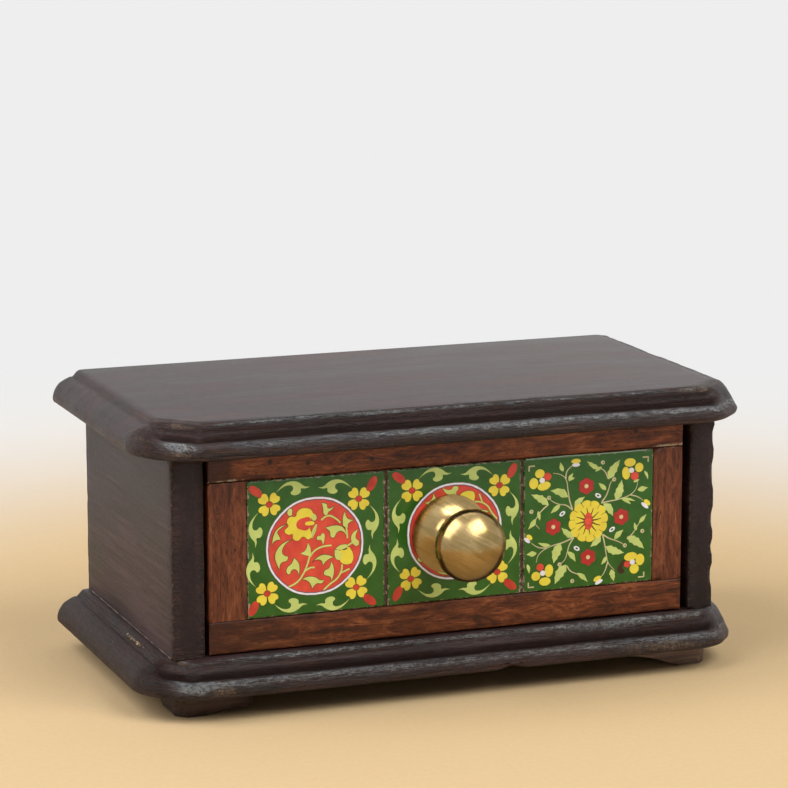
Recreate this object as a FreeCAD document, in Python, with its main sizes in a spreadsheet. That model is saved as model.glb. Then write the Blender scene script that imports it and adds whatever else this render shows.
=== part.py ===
import FreeCAD, Part
import os
import re
import Sketcher

# One-drawer trinket box: a dark stained box with moulded top and base boards, four block
# feet, and a drawer front that frames three glazed tiles behind a turned brass knob.
# Frame: +Z up, the drawer opens towards -Y, origin under the middle of the whole box on the
# surface that it stands on.  Millimetres.

doc = FreeCAD.newDocument("drawer_box")

# Driving sizes.
SIZES = {
    # running gaps round the drawer
    "gap_left": 1.3,
    "gap_right": 2.8,
    "gap_under": 0.4,
    "gap_over": 1.8,
    "gap_behind": 0.5,
    # carcass boards
    "side_left_thickness": 11.9,
    "side_right_thickness": 9.9,
    "depth": 106.6,
    "base_thickness": 12.1,
    "top_thickness": 11.9,
    "back_thickness": 6.5,
    "rebate": 5.0,
    "rebate_clearance": 0.2,
    "edge_round": 0.7,
    # moulded edge, the same on the top and the base
    "overhang": 12.4,
    "fascia_overhang": 5.2,
    "fascia_height": 4.2,
    "fascia_lean": 2.6,
    "fascia_crown": 0.5,
    "cove_drop": 1.4,
    "cove_hollow": 0.85,
    "bead_radius": 4.0,
    "under_round": 2.0,
    "top_clip_left": 10.6,
    "base_clip_left": 7.6,
    "clip_right": 8.5,
    "corner_round": 7.0,
    # feet
    "foot_height": 8.6,
    "foot_inset": 1.5,
    "foot_clip": 3.5,
    "foot_depth": 32.0,
    "foot_depth_run": 14.0,
    "foot_depth_rise": 4.0,
    "left_foot_width": 27.0,
    "left_foot_run": 17.0,
    "left_foot_rise": 2.0,
    "right_foot_width": 35.0,
    "right_foot_run": 22.0,
    "right_foot_rise": 5.6,
    # framed tiles
    "strip_thickness": 6.5,
    "bottom_rail_height": 11.6,
    "top_rail_height": 8.3,
    "left_stile_width": 13.7,
    "right_stile_width": 11.7,
    "tile_width": 50.0,
    "tile_height": 48.2,
    "tile_thickness": 5.6,
    "tile_proud": 0.4,
    "tile_gap": 1.23,
    "tile_fit": 0.25,
    "tile_round": 0.6,
    "grout_recess": 0.5,
    # drawer box behind the front
    "front_board_thickness": 8.0,
    "drawer_side_thickness": 6.0,
    "drawer_side_height": 58.0,
    "drawer_back_thickness": 6.0,
    "front_lap": 5.0,
    "bottom_panel_thickness": 3.5,
    "bottom_panel_height": 3.0,
    "groove_depth": 3.0,
    "groove_clearance": 0.1,
    # turned knob
    "knob_off_centre": 2.1,
    "knob_length": 29.0,
    "flange_radius": 14.0,
    "flange_edge": 1.4,
    "neck_radius": 4.6,
    "head_radius": 12.8,
    "head_half_length": 9.3,
    "head_rim_radius": 6.0,
    # fasteners
    "knob_screw_radius": 2.0,
    "knob_screw_grip": 11.0,
    "knob_screw_head_radius": 4.0,
    "knob_screw_head_height": 2.4,
    "knob_screw_clearance": 0.3,
    "slot_half_width": 0.5,
    "slot_depth": 1.2,
    "thread_clearance": 0.03,
    "washer_radius": 6.0,
    "washer_thickness": 1.0,
    "screw_radius": 1.75,
    "screw_head_radius": 3.6,
    "screw_head_height": 2.2,
    "screw_sink": 0.6,
    "base_screw_length": 26.0,
    "foot_screw_length": 15.0,
    "screw_inset": 22.0,
    "dowel_radius": 3.0,
    "dowel_length": 18.0,
    "dowel_in_top": 7.5,
    "dowel_clearance": 0.1,
    "pin_radius": 0.8,
    "pin_length": 16.0,
    "pin_clearance": 0.05,
    "pin_edge": 12.0,
}

# Sizes that follow from them.
DERIVED = {
    "tile_left_x": "left_stile_width + tile_fit",
    "tile_pitch": "tile_width + tile_gap",
    "tile_field_width": "2 * tile_fit + 3 * tile_width + 2 * tile_gap",
    "tile_field_height": "tile_height + 2 * tile_fit",
    "right_stile_x": "left_stile_width + tile_field_width",
    "top_rail_bottom": "bottom_rail_height + tile_field_height",
    "drawer_width": "right_stile_x + right_stile_width",
    "drawer_height": "top_rail_bottom + top_rail_height",
    "bed_thickness": "strip_thickness + tile_proud - tile_thickness",
    "knob_from_left": "tile_left_x + tile_pitch + tile_width / 2 - knob_off_centre",
    "knob_above_bottom": "bottom_rail_height + tile_field_height / 2",
    "opening_width": "gap_left + drawer_width + gap_right",
    "opening_height": "gap_under + drawer_height + gap_over",
    "carcass_width": "side_left_thickness + opening_width + side_right_thickness",
    "carcass_left": "-carcass_width / 2",
    "knob_reach": "tile_proud + knob_length",
    "front": "(knob_reach - depth) / 2",
    "base_top": "foot_height + base_thickness",
    "top_bottom": "base_top + opening_height",
    "drawer_left": "carcass_left + side_left_thickness + gap_left",
    "drawer_bottom": "base_top + gap_under",
    "turn": "corner_round * tan(22.5 deg)",
    "turn_leg": "turn * sin(45 deg)",
    "right_screw_x": "carcass_width - side_right_thickness / 2",
    "cove_run": "overhang - bead_radius - fascia_overhang",
    "cove_radius": "(cove_run ^ 2 + cove_drop ^ 2 + 4 * cove_hollow ^ 2) / (8 * cove_hollow)",
    "fascia_radius": "(fascia_lean ^ 2 + fascia_height ^ 2 + 4 * fascia_crown ^ 2)"
                     " / (8 * fascia_crown)",
    "left_foot_curve": "(left_foot_run ^ 2 + left_foot_rise ^ 2) / (2 * left_foot_rise)",
    "right_foot_curve": "(right_foot_run ^ 2 + right_foot_rise ^ 2) / (2 * right_foot_rise)",
    "foot_depth_curve": "(foot_depth_run ^ 2 + foot_depth_rise ^ 2)"
                        " / (2 * foot_depth_rise)",
    "foot_screw_y": "(foot_depth - foot_depth_run) / 2",
    "left_foot_screw_x": "(left_foot_width - left_foot_run) / 2",
    "right_foot_screw_x": "(right_foot_width - right_foot_run) / 2",
    "front_thickness": "strip_thickness + front_board_thickness",
    "drawer_side_front": "front_thickness - front_lap",
    "drawer_rear": "depth - back_thickness - gap_behind",
    "drawer_side_length": "drawer_rear - drawer_side_front",
    "drawer_back_front": "drawer_rear - drawer_back_thickness",
    "drawer_inner_width": "drawer_width - 2 * drawer_side_thickness",
    "groove_height": "bottom_panel_thickness + 2 * groove_clearance",
    "groove_bottom": "bottom_panel_height - groove_clearance",
    "groove_reach": "groove_depth - groove_clearance",
    "knob_bore_depth": "knob_screw_grip + 1",
    "knob_screw_length": "washer_thickness + front_thickness + tile_proud + knob_screw_grip",
    "knob_hole_radius": "knob_screw_radius + knob_screw_clearance",
    "flare_radius": "flange_radius - neck_radius",
    "head_centre": "knob_length - head_half_length",
    "rim_centre": "head_radius - head_rim_radius",
    "dome_radius": "(rim_centre ^ 2 + head_half_length ^ 2 - head_rim_radius ^ 2)"
                   " / (2 * (head_half_length - head_rim_radius))",
    "dome_meets_rim_r": "rim_centre * dome_radius / (dome_radius - head_rim_radius)",
    "dome_meets_rim_z": "(dome_radius - head_half_length) * head_rim_radius"
                        " / (dome_radius - head_rim_radius)",
    "neck_top": "head_centre + dome_radius - head_half_length"
                " - sqrt(dome_radius ^ 2 - neck_radius ^ 2)",
    "pilot_radius": "screw_radius + pin_clearance",
    "pin_hole_radius": "pin_radius + pin_clearance",
    "dowel_hole_radius": "dowel_radius + dowel_clearance",
    "front_pin_y": "front_lap / 2",
    "rear_pin_y": "drawer_side_length - drawer_back_thickness / 2",
}

sheet = doc.addObject("Spreadsheet::Sheet", "Sizes")
row = 0
for name, number in SIZES.items():
    row += 1
    sheet.set("A%d" % row, name)
    sheet.set("B%d" % row, str(number))
    sheet.setAlias("B%d" % row, name)
for name, formula in DERIVED.items():
    row += 1
    sheet.set("A%d" % row, name)
    sheet.set("B%d" % row, "=" + formula)
    sheet.setAlias("B%d" % row, name)
doc.recompute()


def cells(text):
    """An expression in which each size's name points at its cell in the sheet."""
    def cell(match):
        word = match.group(0)
        return "Sizes." + word if word in SIZES or word in DERIVED else word
    return re.sub(r"[a-z]\w*", cell, text)


def value(text):
    """The number that such an expression has now."""
    return float(sheet.evalExpression(cells(text)))


def place(thing, x, y, z, quarter_turn=None):
    """Bind a thing's place; a quarter turn about an axis comes first where one is given."""
    if quarter_turn:
        thing.Placement = FreeCAD.Placement(FreeCAD.Vector(), FreeCAD.Rotation(quarter_turn, 90))
    for axis, text in (("x", x), ("y", y), ("z", z)):
        thing.setExpression(".Placement.Base." + axis, cells(text))


def body(label, x, y, z, quarter_turn=None):
    made = doc.addObject("PartDesign::Body", label)
    made.Label = label
    place(made, x, y, z, quarter_turn)
    return made


def sketch(owner, plane, lift="0"):
    """A sketch on one of the body's own origin planes, lifted along that plane's normal."""
    made = owner.newObject("Sketcher::SketchObject", owner.Label + "_sketch")
    support = [f for f in owner.Origin.OriginFeatures if f.Role == plane][0]
    made.AttachmentSupport = [(support, "")]
    made.MapMode = "FlatFace"
    if lift != "0":
        made.setExpression(".AttachmentOffset.Base.z", cells(lift))
    return made


def pin_point(drawn, item, end, x, y):
    """Dimension a point of a sketch from its origin, or lay it on an axis."""
    for kind, axis, text in (("DistanceX", -2, x), ("DistanceY", -1, y)):
        if text == "0":
            drawn.addConstraint(Sketcher.Constraint("PointOnObject", item, end, axis))
        else:
            rule = Sketcher.Constraint(kind, -1, 1, item, end, value(text))
            number = drawn.addConstraint(rule)
            drawn.setExpression("Constraints[%d]" % number, cells(text))


def outline(drawn, start, steps, closed=True):
    """Lines and arcs from point to point.

    A step is (x, y) for a line, or (x, y, radius, side) for an arc whose centre lies to the
    left (side 1) or right (side -1) of the way from its start to its end."""
    def at(x, y):
        return FreeCAD.Vector(value(x), value(y), 0)

    if closed and steps[-1][:2] != start:
        steps = steps + [start]
    here = at(*start)
    first = last = None
    for step in steps:
        there = at(step[0], step[1])
        if len(step) == 2:
            item = drawn.addGeometry(Part.LineSegment(here, there))
        else:
            radius = value(step[2])
            chord = there - here
            across = FreeCAD.Vector(-chord.y, chord.x, 0).normalize() * step[3]
            rise = (radius ** 2 - chord.Length ** 2 / 4) ** 0.5
            middle = here + chord / 2 + across * (rise - radius)
            item = drawn.addGeometry(Part.Arc(here, middle, there))
            rule = Sketcher.Constraint("Radius", item, radius)
            number = drawn.addConstraint(rule)
            drawn.setExpression("Constraints[%d]" % number, cells(step[2]))
        begin = 1 if drawn.getPoint(item, 1).distanceToPoint(here) < 1e-6 else 2
        if last:
            drawn.addConstraint(Sketcher.Constraint("Coincident", last[0], last[1], item, begin))
        else:
            first = (item, begin)
            pin_point(drawn, item, begin, start[0], start[1])
        last = (item, 3 - begin)
        if closed and step is steps[-1]:
            drawn.addConstraint(Sketcher.Constraint("Coincident", *last, *first))
        else:
            pin_point(drawn, last[0], last[1], step[0], step[1])
        here = there
    return drawn


def rectangle(drawn, left, low, right, high):
    return outline(drawn, (left, low), [(right, low), (right, high), (left, high)])


def circles(drawn, centres, radius):
    for x, y in centres:
        middle = FreeCAD.Vector(value(x), value(y), 0)
        ring = Part.Circle(middle, FreeCAD.Vector(0, 0, 1), value(radius))
        item = drawn.addGeometry(ring)
        pin_point(drawn, item, 3, x, y)
        number = drawn.addConstraint(Sketcher.Constraint("Radius", item, value(radius)))
        drawn.setExpression("Constraints[%d]" % number, cells(radius))
    return drawn


def pad(owner, drawn, length, along_normal=True):
    made = owner.newObject("PartDesign::Pad", owner.Label + "_pad")
    made.Profile = drawn
    made.Reversed = not along_normal
    made.setExpression("Length", cells(length))
    doc.recompute()
    return made


def pocket(owner, drawn, depth, along_normal):
    """Cut a sketch's shape to a depth, or right through where the depth is None.

    The cut goes along the sketch's normal or against it; it must take something away."""
    before = owner.Shape.Volume
    made = owner.newObject("PartDesign::Pocket", owner.Label + "_pocket")
    made.Profile = drawn
    made.Reversed = along_normal
    if depth is None:
        made.Type = "ThroughAll"
    else:
        made.setExpression("Length", cells(depth))
    doc.recompute()
    if not owner.Shape.Volume < before - 1e-6:
        raise RuntimeError(owner.Label + ": a pocket cuts nothing")
    return made


def countersunk_holes(owner, drawn):
    """Screw holes right through, each with a conical seat that sinks the head."""
    made = owner.newObject("PartDesign::Hole", owner.Label + "_holes")
    made.Profile = drawn
    doc.recompute()
    made.Reversed = True
    made.DepthType = "ThroughAll"
    made.setExpression("Diameter", cells("2 * pilot_radius"))
    made.HoleCutType = "Countersink"
    made.HoleCutCustomValues = True
    made.setExpression("HoleCutDiameter", cells("2 * (screw_head_radius + screw_sink)"))
    made.setExpression("HoleCutCountersinkAngle",
                       "2 * atan(%s)" % cells("(screw_head_radius - screw_radius)"
                                              " / screw_head_height"))
    doc.recompute()
    return made


def round_edges(owner, radius, chosen):
    """Fillet the edges of the body's tip that pass the test."""
    base = owner.Tip
    names = ["Edge%d" % (i + 1) for i, edge in enumerate(base.Shape.Edges) if chosen(edge)]
    made = owner.newObject("PartDesign::Fillet", owner.Label + "_round")
    made.Base = (base, names)
    made.setExpression("Radius", cells(radius))
    doc.recompute()
    return made


def lies_on(edge, axis, level):
    """Whether all of an edge lies at one level of an axis."""
    box = edge.BoundBox
    low = getattr(box, axis + "Min")
    high = getattr(box, axis + "Max")
    return abs(low - level) < 1e-4 and abs(high - level) < 1e-4


def rod(name, x, y, z, radius, length, quarter_turn=None):
    made = doc.addObject("Part::Cylinder", name)
    made.setExpression("Radius", cells(radius))
    made.setExpression("Height", cells(length))
    place(made, x, y, z, quarter_turn)
    return made


def group(label, pieces):
    """Fasteners of one kind, which stay separate solids in one node."""
    made = doc.addObject("Part::Compound", label)
    made.Label = label
    made.Links = pieces
    return made


X_AXIS = FreeCAD.Vector(1, 0, 0)
Y_AXIS = FreeCAD.Vector(0, 1, 0)

# ---------------------------------------------------------------- carcass: moulded boards
# Both boards are one plank each with the same edge run round the left, front and right: a
# fascia that leans back with a slight crown, a hollow cove, and a bead that stands furthest
# out.  The front corners are clipped and eased by hand, each by its own amount, and the back
# is cut off square.


def board_plan(drawn, clip_left, closed):
    """The line of the carcass faces, with clipped front corners eased at both ends."""
    steps = [
        ("carcass_width", "clip_right + turn"),
        ("carcass_width - turn_leg", "clip_right - turn_leg", "corner_round", -1),
        ("carcass_width - clip_right + turn_leg", "turn_leg"),
        ("carcass_width - clip_right - turn", "0", "corner_round", -1),
        (clip_left + " + turn", "0"),
        (clip_left + " - turn_leg", "turn_leg", "corner_round", -1),
        ("turn_leg", clip_left + " - turn_leg"),
        ("0", clip_left + " + turn", "corner_round", -1),
        ("0", "depth"),
    ]
    return outline(drawn, ("carcass_width", "depth"), steps, closed)


def moulding_profile(drawn, thickness):
    """The edge's section, drawn outwards from the right-hand face of the carcass."""
    face = "carcass_width"
    lip = face + " + overhang"
    fascia = face + " + fascia_overhang"
    fascia_foot = thickness + " - fascia_height"
    bead_top = fascia_foot + " - cove_drop"
    steps = [
        (lip + " - under_round", "0"),
        (lip, "under_round", "under_round", 1),
        (lip, bead_top + " - bead_radius"),
        (lip + " - bead_radius", bead_top, "bead_radius", 1),
        (fascia, fascia_foot, "cove_radius", -1),
        (fascia + " - fascia_lean", thickness, "fascia_radius", 1),
        (face, thickness),
    ]
    return outline(drawn, (face, "0"), steps)


def moulded_board(label, thickness, bottom, clip_left):
    board = body(label, "carcass_left", "front", bottom)
    pad(board, board_plan(sketch(board, "XY_Plane"), clip_left, True), thickness)
    run = board_plan(sketch(board, "XY_Plane"), clip_left, False)
    section = moulding_profile(sketch(board, "XZ_Plane", "-depth"), thickness)
    doc.recompute()
    edge = board.newObject("PartDesign::AdditivePipe", label + "_moulding")
    edge.Profile = section
    edge.Spine = (run, ["Edge%d" % (i + 1) for i in range(len(run.Shape.Edges))])
    edge.Mode = "Frenet"
    doc.recompute()
    return board


SIDE_CENTRES = ["side_left_thickness / 2", "right_screw_x"]
SCREW_ROWS = ["screw_inset", "depth - screw_inset"]
OVER_SIDES = [(x, y) for x in SIDE_CENTRES for y in SCREW_ROWS]
FOOT_SCREWS = [(x, y)
               for x in ("foot_inset + left_foot_screw_x",
                         "carcass_width - foot_inset - right_foot_screw_x")
               for y in ("foot_screw_y", "depth - foot_screw_y")]

top_board = moulded_board("top_board", "top_thickness", "top_bottom", "top_clip_left")
pocket(top_board, circles(sketch(top_board, "XY_Plane"), OVER_SIDES, "dowel_hole_radius"),
       "dowel_in_top + dowel_clearance", True)

base_board = moulded_board("base_board", "base_thickness", "foot_height", "base_clip_left")
countersunk_holes(base_board, circles(sketch(base_board, "XY_Plane"), OVER_SIDES,
                                      "screw_radius"))
pocket(base_board, circles(sketch(base_board, "XY_Plane"), FOOT_SCREWS, "pilot_radius"),
       "foot_screw_length - foot_height + screw_sink + pin_clearance", True)

# ---------------------------------------------------------------- carcass: sides and back


def side_panel(label, thickness, x, inner):
    """A side; inner is the x of its inner face, where the back's rebate is cut."""
    panel = body(label, x, "front", "base_top")
    pad(panel, rectangle(sketch(panel, "XY_Plane"), "0", "0", thickness, "depth"),
        "opening_height")
    round_edges(panel, "edge_round",
                lambda edge: lies_on(edge, "Y", 0) and edge.BoundBox.ZLength > 1)
    centre = thickness + " / 2"
    rows = [(centre, y) for y in SCREW_ROWS]
    pocket(panel, circles(sketch(panel, "XY_Plane"), rows, "pilot_radius"),
           "base_screw_length + screw_sink - base_thickness + pin_clearance", True)
    pocket(panel, circles(sketch(panel, "XY_Plane", "opening_height"), rows,
                          "dowel_hole_radius"),
           "dowel_length - dowel_in_top + dowel_clearance", False)
    rebate_left = inner + " - rebate" if inner != "0" else "0"
    rebate_right = inner if inner != "0" else "rebate"
    pocket(panel, rectangle(sketch(panel, "XY_Plane"), rebate_left, "depth - back_thickness",
                            rebate_right, "depth"), None, True)
    pin_x = inner + " - rebate / 2" if inner != "0" else "rebate / 2"
    pocket(panel, circles(sketch(panel, "XZ_Plane", "back_thickness - depth"),
                          [(pin_x, z) for z in BACK_PIN_HEIGHTS], "pin_hole_radius"),
           "pin_length - back_thickness + pin_clearance", True)
    return panel


BACK_PIN_HEIGHTS = ["pin_edge", "opening_height / 2", "opening_height - pin_edge"]
side_left = side_panel("side_left", "side_left_thickness", "carcass_left",
                       "side_left_thickness")
side_right = side_panel("side_right", "side_right_thickness",
                        "carcass_left + carcass_width - side_right_thickness", "0")

BACK_PIN_COLUMNS = ["rebate / 2 - rebate_clearance",
                    "opening_width + 1.5 * rebate - rebate_clearance"]
back_panel = body("back_panel", "carcass_left + side_left_thickness - rebate"
                  " + rebate_clearance", "front + depth - back_thickness", "base_top")
pad(back_panel, rectangle(sketch(back_panel, "XY_Plane"), "0", "0",
                          "opening_width + 2 * rebate - 2 * rebate_clearance",
                          "back_thickness"), "opening_height")
pocket(back_panel, circles(sketch(back_panel, "XZ_Plane"),
                           [(x, z) for x in BACK_PIN_COLUMNS for z in BACK_PIN_HEIGHTS],
                           "pin_hole_radius"), None, False)

# ---------------------------------------------------------------- carcass: feet


def foot(label, hand, across, along):
    """A block foot whose underside rises in a slow curve towards the middle of the box.

    across and along are 1 or -1: the way from its outer corner inwards."""
    def x_of(text):
        return text if across > 0 else "-(%s)" % text

    def y_of(text):
        return text if along > 0 else "-(%s)" % text

    width = hand + "_foot_width"
    run = hand + "_foot_run"
    rise = hand + "_foot_rise"
    corner = "foot_inset" if across > 0 else "carcass_width - foot_inset"
    made = body(label, "carcass_left + " + corner, "front" if along > 0 else "front + depth",
                "0")
    plan = [
        (x_of(width), "0"),
        (x_of(width), y_of("foot_depth")),
        ("0", y_of("foot_depth")),
        ("0", y_of("foot_clip")),
    ]
    pad(made, outline(sketch(made, "XY_Plane"), (x_of("foot_clip"), "0"), plan),
        "foot_height")
    inward = sketch(made, "XZ_Plane")
    outline(inward, (x_of(width + " - " + run), "0"), [
        (x_of(width), "0"),
        (x_of(width), rise),
        (x_of(width + " - " + run), "0", hand + "_foot_curve", across),
    ])
    pocket(made, inward, None, along < 0)
    backward = sketch(made, "YZ_Plane")
    outline(backward, (y_of("foot_depth - foot_depth_run"), "0"), [
        (y_of("foot_depth"), "0"),
        (y_of("foot_depth"), "foot_depth_rise"),
        (y_of("foot_depth - foot_depth_run"), "0", "foot_depth_curve", along),
    ])
    pocket(made, backward, None, across > 0)
    screw_x = hand + "_foot_screw_x"
    screw_x = screw_x if across > 0 else "-(%s)" % screw_x
    countersunk_holes(made, circles(sketch(made, "XY_Plane"),
                                    [(screw_x, y_of("foot_screw_y"))], "screw_radius"))
    return made


feet = [foot("foot_front_left", "left", 1, 1), foot("foot_front_right", "right", -1, 1),
        foot("foot_back_left", "left", 1, -1), foot("foot_back_right", "right", -1, -1)]
# ---------------------------------------------------------------- carcass: fasteners


def wood_screw(name, x, y, z, length):
    """A countersunk wood screw that points up, its head's face at z."""
    head = doc.addObject("Part::Cone", name + "_head")
    head.setExpression("Radius1", cells("screw_head_radius"))
    head.setExpression("Radius2", cells("screw_radius"))
    head.setExpression("Height", cells("screw_head_height"))
    place(head, x, y, z)
    shank = rod(name + "_shank", x, y, z + " + screw_head_height", "screw_radius",
                length + " - screw_head_height")
    screw = doc.addObject("Part::Fuse", name)
    screw.Base = head
    screw.Tool = shank
    return screw


base_screws = group("base_screws", [
    wood_screw("base_screw_%d" % i, "carcass_left + " + x, "front + " + y,
               "foot_height + screw_sink", "base_screw_length")
    for i, (x, y) in enumerate(OVER_SIDES)])
foot_screws = group("foot_screws", [
    wood_screw("foot_screw_%d" % i, "carcass_left + " + x, "front + " + y, "screw_sink",
               "foot_screw_length")
    for i, (x, y) in enumerate(FOOT_SCREWS)])
top_dowels = group("top_dowels", [
    rod("top_dowel_%d" % i, "carcass_left + " + x, "front + " + y,
        "top_bottom + dowel_in_top - dowel_length", "dowel_radius", "dowel_length")
    for i, (x, y) in enumerate(OVER_SIDES)])
back_pins = group("back_pins", [
    rod("back_pin_%d_%d" % (i, k),
        "carcass_left + side_left_thickness - rebate + rebate_clearance + " + x,
        "front + depth", "base_top + " + z, "pin_radius", "pin_length", X_AXIS)
    for i, x in enumerate(BACK_PIN_COLUMNS) for k, z in enumerate(BACK_PIN_HEIGHTS)])

# ---------------------------------------------------------------- drawer: framed tiles
# Two rails run the full width of the front, and two stiles stand between them.  Inside that
# frame the tiles lie on a bed of grout, with a joint of grout between one and the next.


def strip(label, x, z, width, height, eased):
    """A strip of the frame; eased tells which of its front edges are rounded."""
    made = body(label, "drawer_left + " + x, "front", "drawer_bottom + " + z)
    pad(made, rectangle(sketch(made, "XZ_Plane"), "0", "0", width, height),
        "strip_thickness", False)
    round_edges(made, "edge_round", lambda edge: lies_on(edge, "Y", 0) and eased(edge))
    return made


def outer(x):
    """A test for the upright front edge that stands at x."""
    return lambda edge: lies_on(edge, "X", x)


top_rail = strip("front_rail_top", "0", "top_rail_bottom", "drawer_width", "top_rail_height",
                 lambda edge: True)
bottom_rail = strip("front_rail_bottom", "0", "0", "drawer_width", "bottom_rail_height",
                    lambda edge: True)
left_stile = strip("front_stile_left", "0", "bottom_rail_height", "left_stile_width",
                   "tile_field_height", outer(0))
right_stile = strip("front_stile_right", "right_stile_x", "bottom_rail_height",
                    "right_stile_width", "tile_field_height",
                    outer(value("right_stile_width")))

TILE_Z = "drawer_bottom + bottom_rail_height + tile_fit"


def tile(label, number):
    made = body(label, "drawer_left + tile_left_x + %d * tile_pitch" % number,
                "front - tile_proud", TILE_Z)
    pad(made, rectangle(sketch(made, "XZ_Plane"), "0", "0", "tile_width", "tile_height"),
        "tile_thickness", False)
    round_edges(made, "tile_round", lambda edge: lies_on(edge, "Y", 0))
    return made


tile_left = tile("tile_left", 0)
tile_middle = tile("tile_middle", 1)
tile_right = tile("tile_right", 2)
pocket(tile_middle, circles(sketch(tile_middle, "XZ_Plane"),
                            [("knob_from_left - tile_left_x - tile_pitch",
                              "knob_above_bottom - bottom_rail_height - tile_fit")],
                            "knob_hole_radius"), None, False)

tile_bed = body("tile_bed", "drawer_left + left_stile_width", "front + strip_thickness",
                "drawer_bottom + bottom_rail_height")
pad(tile_bed, rectangle(sketch(tile_bed, "XZ_Plane"), "0", "0", "tile_field_width",
                        "tile_field_height"), "bed_thickness")
for number in (1, 2):
    joint_left = "tile_fit + %d * tile_pitch - tile_gap" % number
    pad(tile_bed, rectangle(sketch(tile_bed, "XZ_Plane"), joint_left, "tile_fit",
                            joint_left + " + tile_gap", "tile_fit + tile_height"),
        "strip_thickness - grout_recess")
pocket(tile_bed, circles(sketch(tile_bed, "XZ_Plane"),
                         [("knob_from_left - left_stile_width",
                           "knob_above_bottom - bottom_rail_height")],
                         "knob_hole_radius"), None, True)

# ---------------------------------------------------------------- drawer: box
# The sides lap into the ends of the front board and the back stands between them; the
# bottom lies in a groove in all four.

front_board = body("drawer_front_board", "drawer_left", "front + strip_thickness",
                   "drawer_bottom")
pad(front_board, rectangle(sketch(front_board, "XY_Plane"), "0", "0", "drawer_width",
                           "front_board_thickness"), "drawer_height")
for left, right in (("0", "drawer_side_thickness"),
                    ("drawer_width - drawer_side_thickness", "drawer_width")):
    pocket(front_board, rectangle(sketch(front_board, "XY_Plane"), left,
                                  "front_board_thickness - front_lap", right,
                                  "front_board_thickness"), "drawer_side_height", True)
pocket(front_board, rectangle(sketch(front_board, "XY_Plane", "groove_bottom"),
                              "drawer_side_thickness - groove_depth",
                              "front_board_thickness - groove_depth",
                              "drawer_width - drawer_side_thickness + groove_depth",
                              "front_board_thickness"), "groove_height", True)
pocket(front_board, circles(sketch(front_board, "XZ_Plane"),
                            [("knob_from_left", "knob_above_bottom")],
                            "knob_hole_radius"), None, False)

PIN_HEIGHTS = ["bottom_panel_height + groove_height + pin_edge / 2",
               "drawer_side_height - pin_edge"]
PIN_ROWS = ["front_pin_y", "rear_pin_y"]


def drawer_side(label, x, groove_left, groove_right):
    made = body(label, x, "front + drawer_side_front", "drawer_bottom")
    pad(made, rectangle(sketch(made, "XY_Plane"), "0", "0", "drawer_side_thickness",
                        "drawer_side_length"), "drawer_side_height")
    pocket(made, rectangle(sketch(made, "XY_Plane", "groove_bottom"), groove_left,
                           "front_lap - groove_depth", groove_right,
                           "drawer_side_length - drawer_back_thickness + groove_depth"),
           "groove_height", True)
    pocket(made, circles(sketch(made, "YZ_Plane"),
                         [(y, z) for y in PIN_ROWS for z in PIN_HEIGHTS],
                         "pin_hole_radius"), None, True)
    return made


drawer_side_left = drawer_side("drawer_side_left", "drawer_left",
                               "drawer_side_thickness - groove_depth",
                               "drawer_side_thickness")
drawer_side_right = drawer_side("drawer_side_right",
                                "drawer_left + drawer_width - drawer_side_thickness",
                                "0", "groove_depth")

drawer_back = body("drawer_back", "drawer_left + drawer_side_thickness",
                   "front + drawer_back_front", "drawer_bottom")
pad(drawer_back, rectangle(sketch(drawer_back, "XY_Plane"), "0", "0", "drawer_inner_width",
                           "drawer_back_thickness"), "drawer_side_height")
pocket(drawer_back, rectangle(sketch(drawer_back, "XY_Plane", "groove_bottom"), "0", "0",
                              "drawer_inner_width", "groove_depth"), "groove_height", True)

# Pin holes in the ends of the front board and the back, in line with those in the sides.
PIN_BITE = "pin_length - drawer_side_thickness + pin_clearance"
for made, y, left, right in (
        (front_board, "front_board_thickness - front_lap / 2", "drawer_side_thickness",
         "drawer_width - drawer_side_thickness"),
        (drawer_back, "drawer_back_thickness / 2", "0", "drawer_inner_width")):
    spots = [(y, z) for z in PIN_HEIGHTS]
    pocket(made, circles(sketch(made, "YZ_Plane", left), spots, "pin_hole_radius"),
           PIN_BITE, True)
    pocket(made, circles(sketch(made, "YZ_Plane", right), spots, "pin_hole_radius"),
           PIN_BITE, False)

drawer_floor = body("drawer_bottom_panel",
                    "drawer_left + drawer_side_thickness - groove_reach",
                    "front + front_thickness - groove_reach",
                    "drawer_bottom + bottom_panel_height")
pad(drawer_floor, rectangle(sketch(drawer_floor, "XY_Plane"), "0", "0",
                            "drawer_inner_width + 2 * groove_reach",
                            "drawer_back_front - front_thickness + 2 * groove_reach"),
    "bottom_panel_thickness")

drawer_pins = group("drawer_pins", [
    rod("drawer_pin_%d_%d_%d" % (i, j, k), x, "front + drawer_side_front + " + y,
        "drawer_bottom + " + z, "pin_radius", "pin_length", Y_AXIS)
    for i, x in enumerate(("drawer_left", "drawer_left + drawer_width - pin_length"))
    for j, y in enumerate(PIN_ROWS) for k, z in enumerate(PIN_HEIGHTS)])

# ---------------------------------------------------------------- drawer: knob
# One turning in brass: a thin flange that flares up into a neck, and a lens-shaped head
# whose rim and two domes meet smoothly.  Its own +Z is the way that the knob points, -Y.
KNOB_X = "drawer_left + knob_from_left"
KNOB_Z = "drawer_bottom + knob_above_bottom"

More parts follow.
